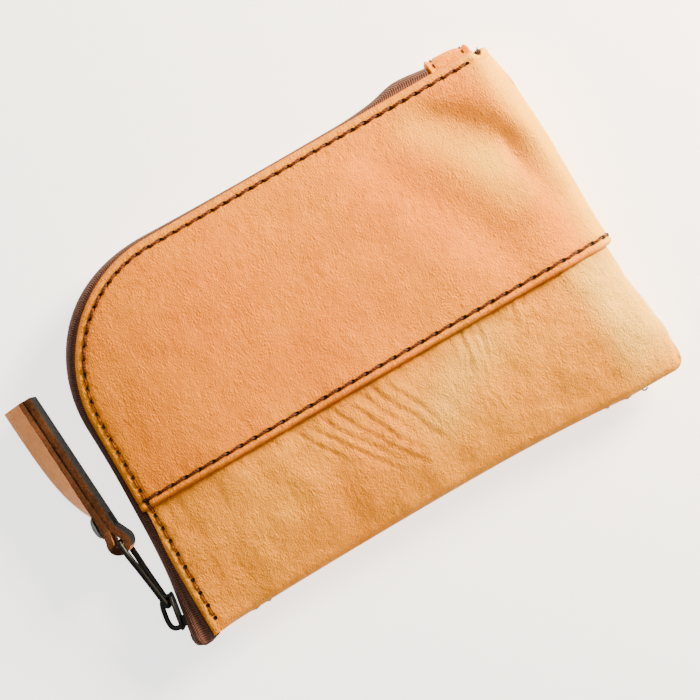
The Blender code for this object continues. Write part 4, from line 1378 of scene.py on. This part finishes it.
def strap_stations():
    """Middle of the strap's upper edge and its tilt: left tail, loop, right tail."""
    loop_middle = LINK_END + Vector((-0.3, 0))
    radius = STRAP_LOOP + STRAP_LEATHER / 2 - 0.2
    half = STRAP_THICK / 2 - 0.03
    left, right = [], []
    for up in spread(STRAP_LENGTH, RIVET_UP - 1.5, TAIL_STATIONS):
        t = clamp((up - RIVET_UP) / (STRAP_LENGTH - RIVET_UP))
        middle = loop_middle + Vector((-STRAP_LEAN / STRAP_LENGTH * up - 0.25, up))
        splay = TAIL_SPLAY * (1 - (1 - t)**4) - STRAP_TILT * (1 - t)
        left.append((middle + Vector((-half * math.cos(splay), 0)), splay))
        right.append((middle + Vector((half, 0)), -STRAP_TILT))
    bend = [(loop_middle + radius * Vector((-math.cos(a), -math.sin(a))), -STRAP_TILT)
            for a in spread(-0.5, math.pi + 0.5, 31)]
    return left + bend + right[::-1]


def strap_ring(path, i):
    spot, tilt = path[i]
    along = (path[min(i + 1, len(path) - 1)][0] - path[max(i - 1, 0)][0]).normalized()
    side = Vector((along.y, -along.x, 0))
    down = Vector((-math.sin(tilt), 0, -math.cos(tilt)))
    thick = (side - down * side.dot(down)).normalized() * STRAP_THICK / 2
    upper = place(spot.x, spot.y, STRAP_WIDTH / 2)
    ring = []
    steps = [(-1, 0.08), (-0.8, 0.02), (-0.3, 0.0), (0.3, 0.0), (0.8, 0.02), (1, 0.08)]
    fibre = 0.10 * noise.noise(Vector((spot.x * 0.9, spot.y * 0.9, 2.0)))
    for t, drop in steps:
        ring.append(upper + (thick * t * (1 + fibre) + down * (drop + fibre)) * 0.001)
    for d in spread(0.12, 0.88, 7):
        ring.append(upper + (thick + down * STRAP_WIDTH * d) * 0.001)
    for t, drop in steps[::-1]:
        ring.append(upper + (thick * t + down * (STRAP_WIDTH - drop)) * 0.001)
    for d in spread(0.88, 0.12, 7):
        ring.append(upper + (-thick + down * STRAP_WIDTH * d) * 0.001)
    return ring


path = strap_stations()
strap_rings = [strap_ring(path, i) for i in range(len(path))]
print("strap sections:", len(strap_rings))

# %% Strap finishes and the finished strap
STRAP_FACE = tan_leather("strap_leather_face", "#e4944e", "#d68442", "#a6662a", "#86440e", "#d8935a", 0.3)
# from partway round the loop to the right tail's end, the outer face is drawn near black
STRAP_DARK = nap_leather("strap_face_dark", "#14181b", "#050607", 0.5, 0.5)
DARK_FROM = TAIL_STATIONS + 20
EDGE_FACES, SIDE_FACES = 5, 8
FACE_SLOT, FLESH_SLOT, EDGE_SLOT, DARK_SLOT = range(4)


def strap_slot(row, i):
    """Upper edge, outer face (dark on the right), lower edge, inner face: round the ring."""
    if i < EDGE_FACES or 0 <= i - EDGE_FACES - SIDE_FACES < EDGE_FACES:
        return EDGE_SLOT
    if i < EDGE_FACES + SIDE_FACES:
        return DARK_SLOT if row > DARK_FROM else FACE_SLOT
    return FLESH_SLOT


strap = loft("leather_pull_strap", strap_rings, [STRAP_FACE, FLESH_SIDE, STRAP_EDGE, STRAP_DARK],
             slot_of=strap_slot)
carry(strap, "pull_tab", "pull_strap")
print("strap slots:", [m.name for m in strap.data.materials])

# %% [markdown]
# ## Rivet
# The cap of a jean-style rivet is pressed sheet metal: a low dome with a rolled rim. It is turned
# from a profile, spun round its axis with bmesh, and sits on the strap's left face. The post goes
# through both layers and ends in a small flat head on the right.

# %% Rivet cap
MIDDLE = LINK_END + Vector((-0.7 - STRAP_LEAN * RIVET_UP / STRAP_LENGTH, RIVET_UP))
CAP_X = MIDDLE.x + math.sin(STRAP_TILT) * STRAP_WIDTH / 2 - STRAP_LEATHER - 0.9
profile = [(0.0, 0.0), (0.94, 0.0), (1.0, 0.05), (1.01, 0.14), (0.97, 0.24), (0.90, 0.30), (0.87, 0.42),
           (0.78, 0.62), (0.60, 0.82), (0.36, 0.95), (0.15, 0.99), (0.0, 1.0)]
work = bmesh.new()
line = [work.verts.new(place(CAP_X - h * RIVET_DOME, MIDDLE.y, r * RIVET_HEAD)) for r, h in profile]
edges = [work.edges.new(pair) for pair in zip(line, line[1:])]
bmesh.ops.spin(work, geom=line + edges, cent=place(CAP_X, MIDDLE.y, 0), axis=(1, 0, 0),
               angle=2 * math.pi, steps=40, use_merge=True)
bmesh.ops.remove_doubles(work, verts=work.verts, dist=0.00001)
bmesh.ops.recalc_face_normals(work, faces=work.faces)
cap_mesh = bpy.data.meshes.new("rivet_cap_domed")
work.to_mesh(cap_mesh)
work.free()
cap = piece("rivet_cap_domed", cap_mesh, [GREY_METAL], 50)
carry(cap, "pull_tab", "rivet_cap")
FACE_X = MIDDLE.x + STRAP_THICK + 0.05
SHANK_RADIUS, HEAD_RADIUS, HEAD_FROM = 0.8, 1.9, 0.6
shank = [place(x, MIDDLE.y, 0)
         for x in (CAP_X + 0.2, FACE_X - 0.1, FACE_X, FACE_X + 0.01, FACE_X + 0.25)]
post = tubes("rivet_post_turned", [shank], lambda t: SHANK_RADIUS if t < HEAD_FROM else HEAD_RADIUS,
             BLACK_METAL, 24)
carry(post, "pull_tab", "rivet_post")
print(f"rivet cap {2 * RIVET_HEAD:.1f} mm across")

# %% [markdown]
# ## Table, light and camera
# A plain pale table, lit softly: a broad light from the right brightens the fold and rakes over the
# grain, a second from above fills in, and the pale surroundings keep the shadows open. The table
# glows a little by itself, as a light table does, so that it stays nearly white.

# %% Table


def matt_paint(name, colour):
    made, tree, shader = finish_of(name)
    where = add(tree, "TexCoord").outputs["Object"]
    grit = add(tree, "TexNoise", {"Vector": where, "Scale": per_mm(2), "Detail": 2.0})
    tone = add(tree, "MixRGB", {"Fac": grit.outputs["Fac"], "Color1": linear(colour),
                                "Color2": linear("#fafafa")})
    tree.links.new(tone.outputs[0], shader.inputs["Base Color"])
    shader.inputs["Roughness"].default_value = 0.9
    shader.inputs["Emission Color"].default_value = linear("#ffffff")
    shader.inputs["Emission Strength"].default_value = 2.2
    return made


TABLE_REACH, TABLE_TOP = 8, -0.0005
table_mesh = bpy.data.meshes.new("table")
corners = [(x * TABLE_REACH, y * TABLE_REACH, TABLE_TOP) for x, y in ((-1, -1), (1, -1), (1, 1), (-1, 1))]
table_mesh.from_pydata(corners, [], [(0, 1, 2, 3)])
table = piece("table", table_mesh, [matt_paint("white_matt_paint", "#f4f4f3")])
print("table:", table.name)

# %% Lights


def soft_light(name, spot, size, power, colour):
    """A square soft box aimed at the middle of the pouch; metres and watts."""
    data = bpy.data.lights.new(name, "AREA")
    data.shape = "SQUARE"
    data.size = size
    data.energy = power
    data.color = linear(colour)[:3]
    made = bpy.data.objects.new(name, data)
    made.location = spot
    made.rotation_euler = (-Vector(spot)).to_track_quat("-Z", "Y").to_euler()
    bpy.context.scene.collection.objects.link(made)


soft_light("side_light", (0.37, 0.115, 0.212), 0.17, 9.9, "#ffe4bd")
soft_light("top_light", (0.15, 0.3, 1.1), 0.7, 4, "#fff2de")
surround = bpy.data.worlds.new("pale_surround")
bpy.context.scene.world = surround
surround.use_nodes = True
surround.node_tree.nodes["Background"].inputs["Color"].default_value = linear("#ffffff")
surround.node_tree.nodes["Background"].inputs["Strength"].default_value = 0.25

# %% [markdown]
# The camera looks straight down with a long lens, turned so that the pouch lies at a slant.

# %% Camera
VIEW_FROM, VIEW_TURN = (-0.0013, -0.0158, 0.4507), -29.9
lens = bpy.data.cameras.new("camera")
lens.lens = 100
camera = bpy.data.objects.new("camera", lens)
camera.location = VIEW_FROM
camera.rotation_euler = (0, 0, math.radians(VIEW_TURN))
bpy.context.scene.collection.objects.link(camera)
bpy.context.scene.camera = camera
print("camera height:", round(camera.location.z, 3), "m")
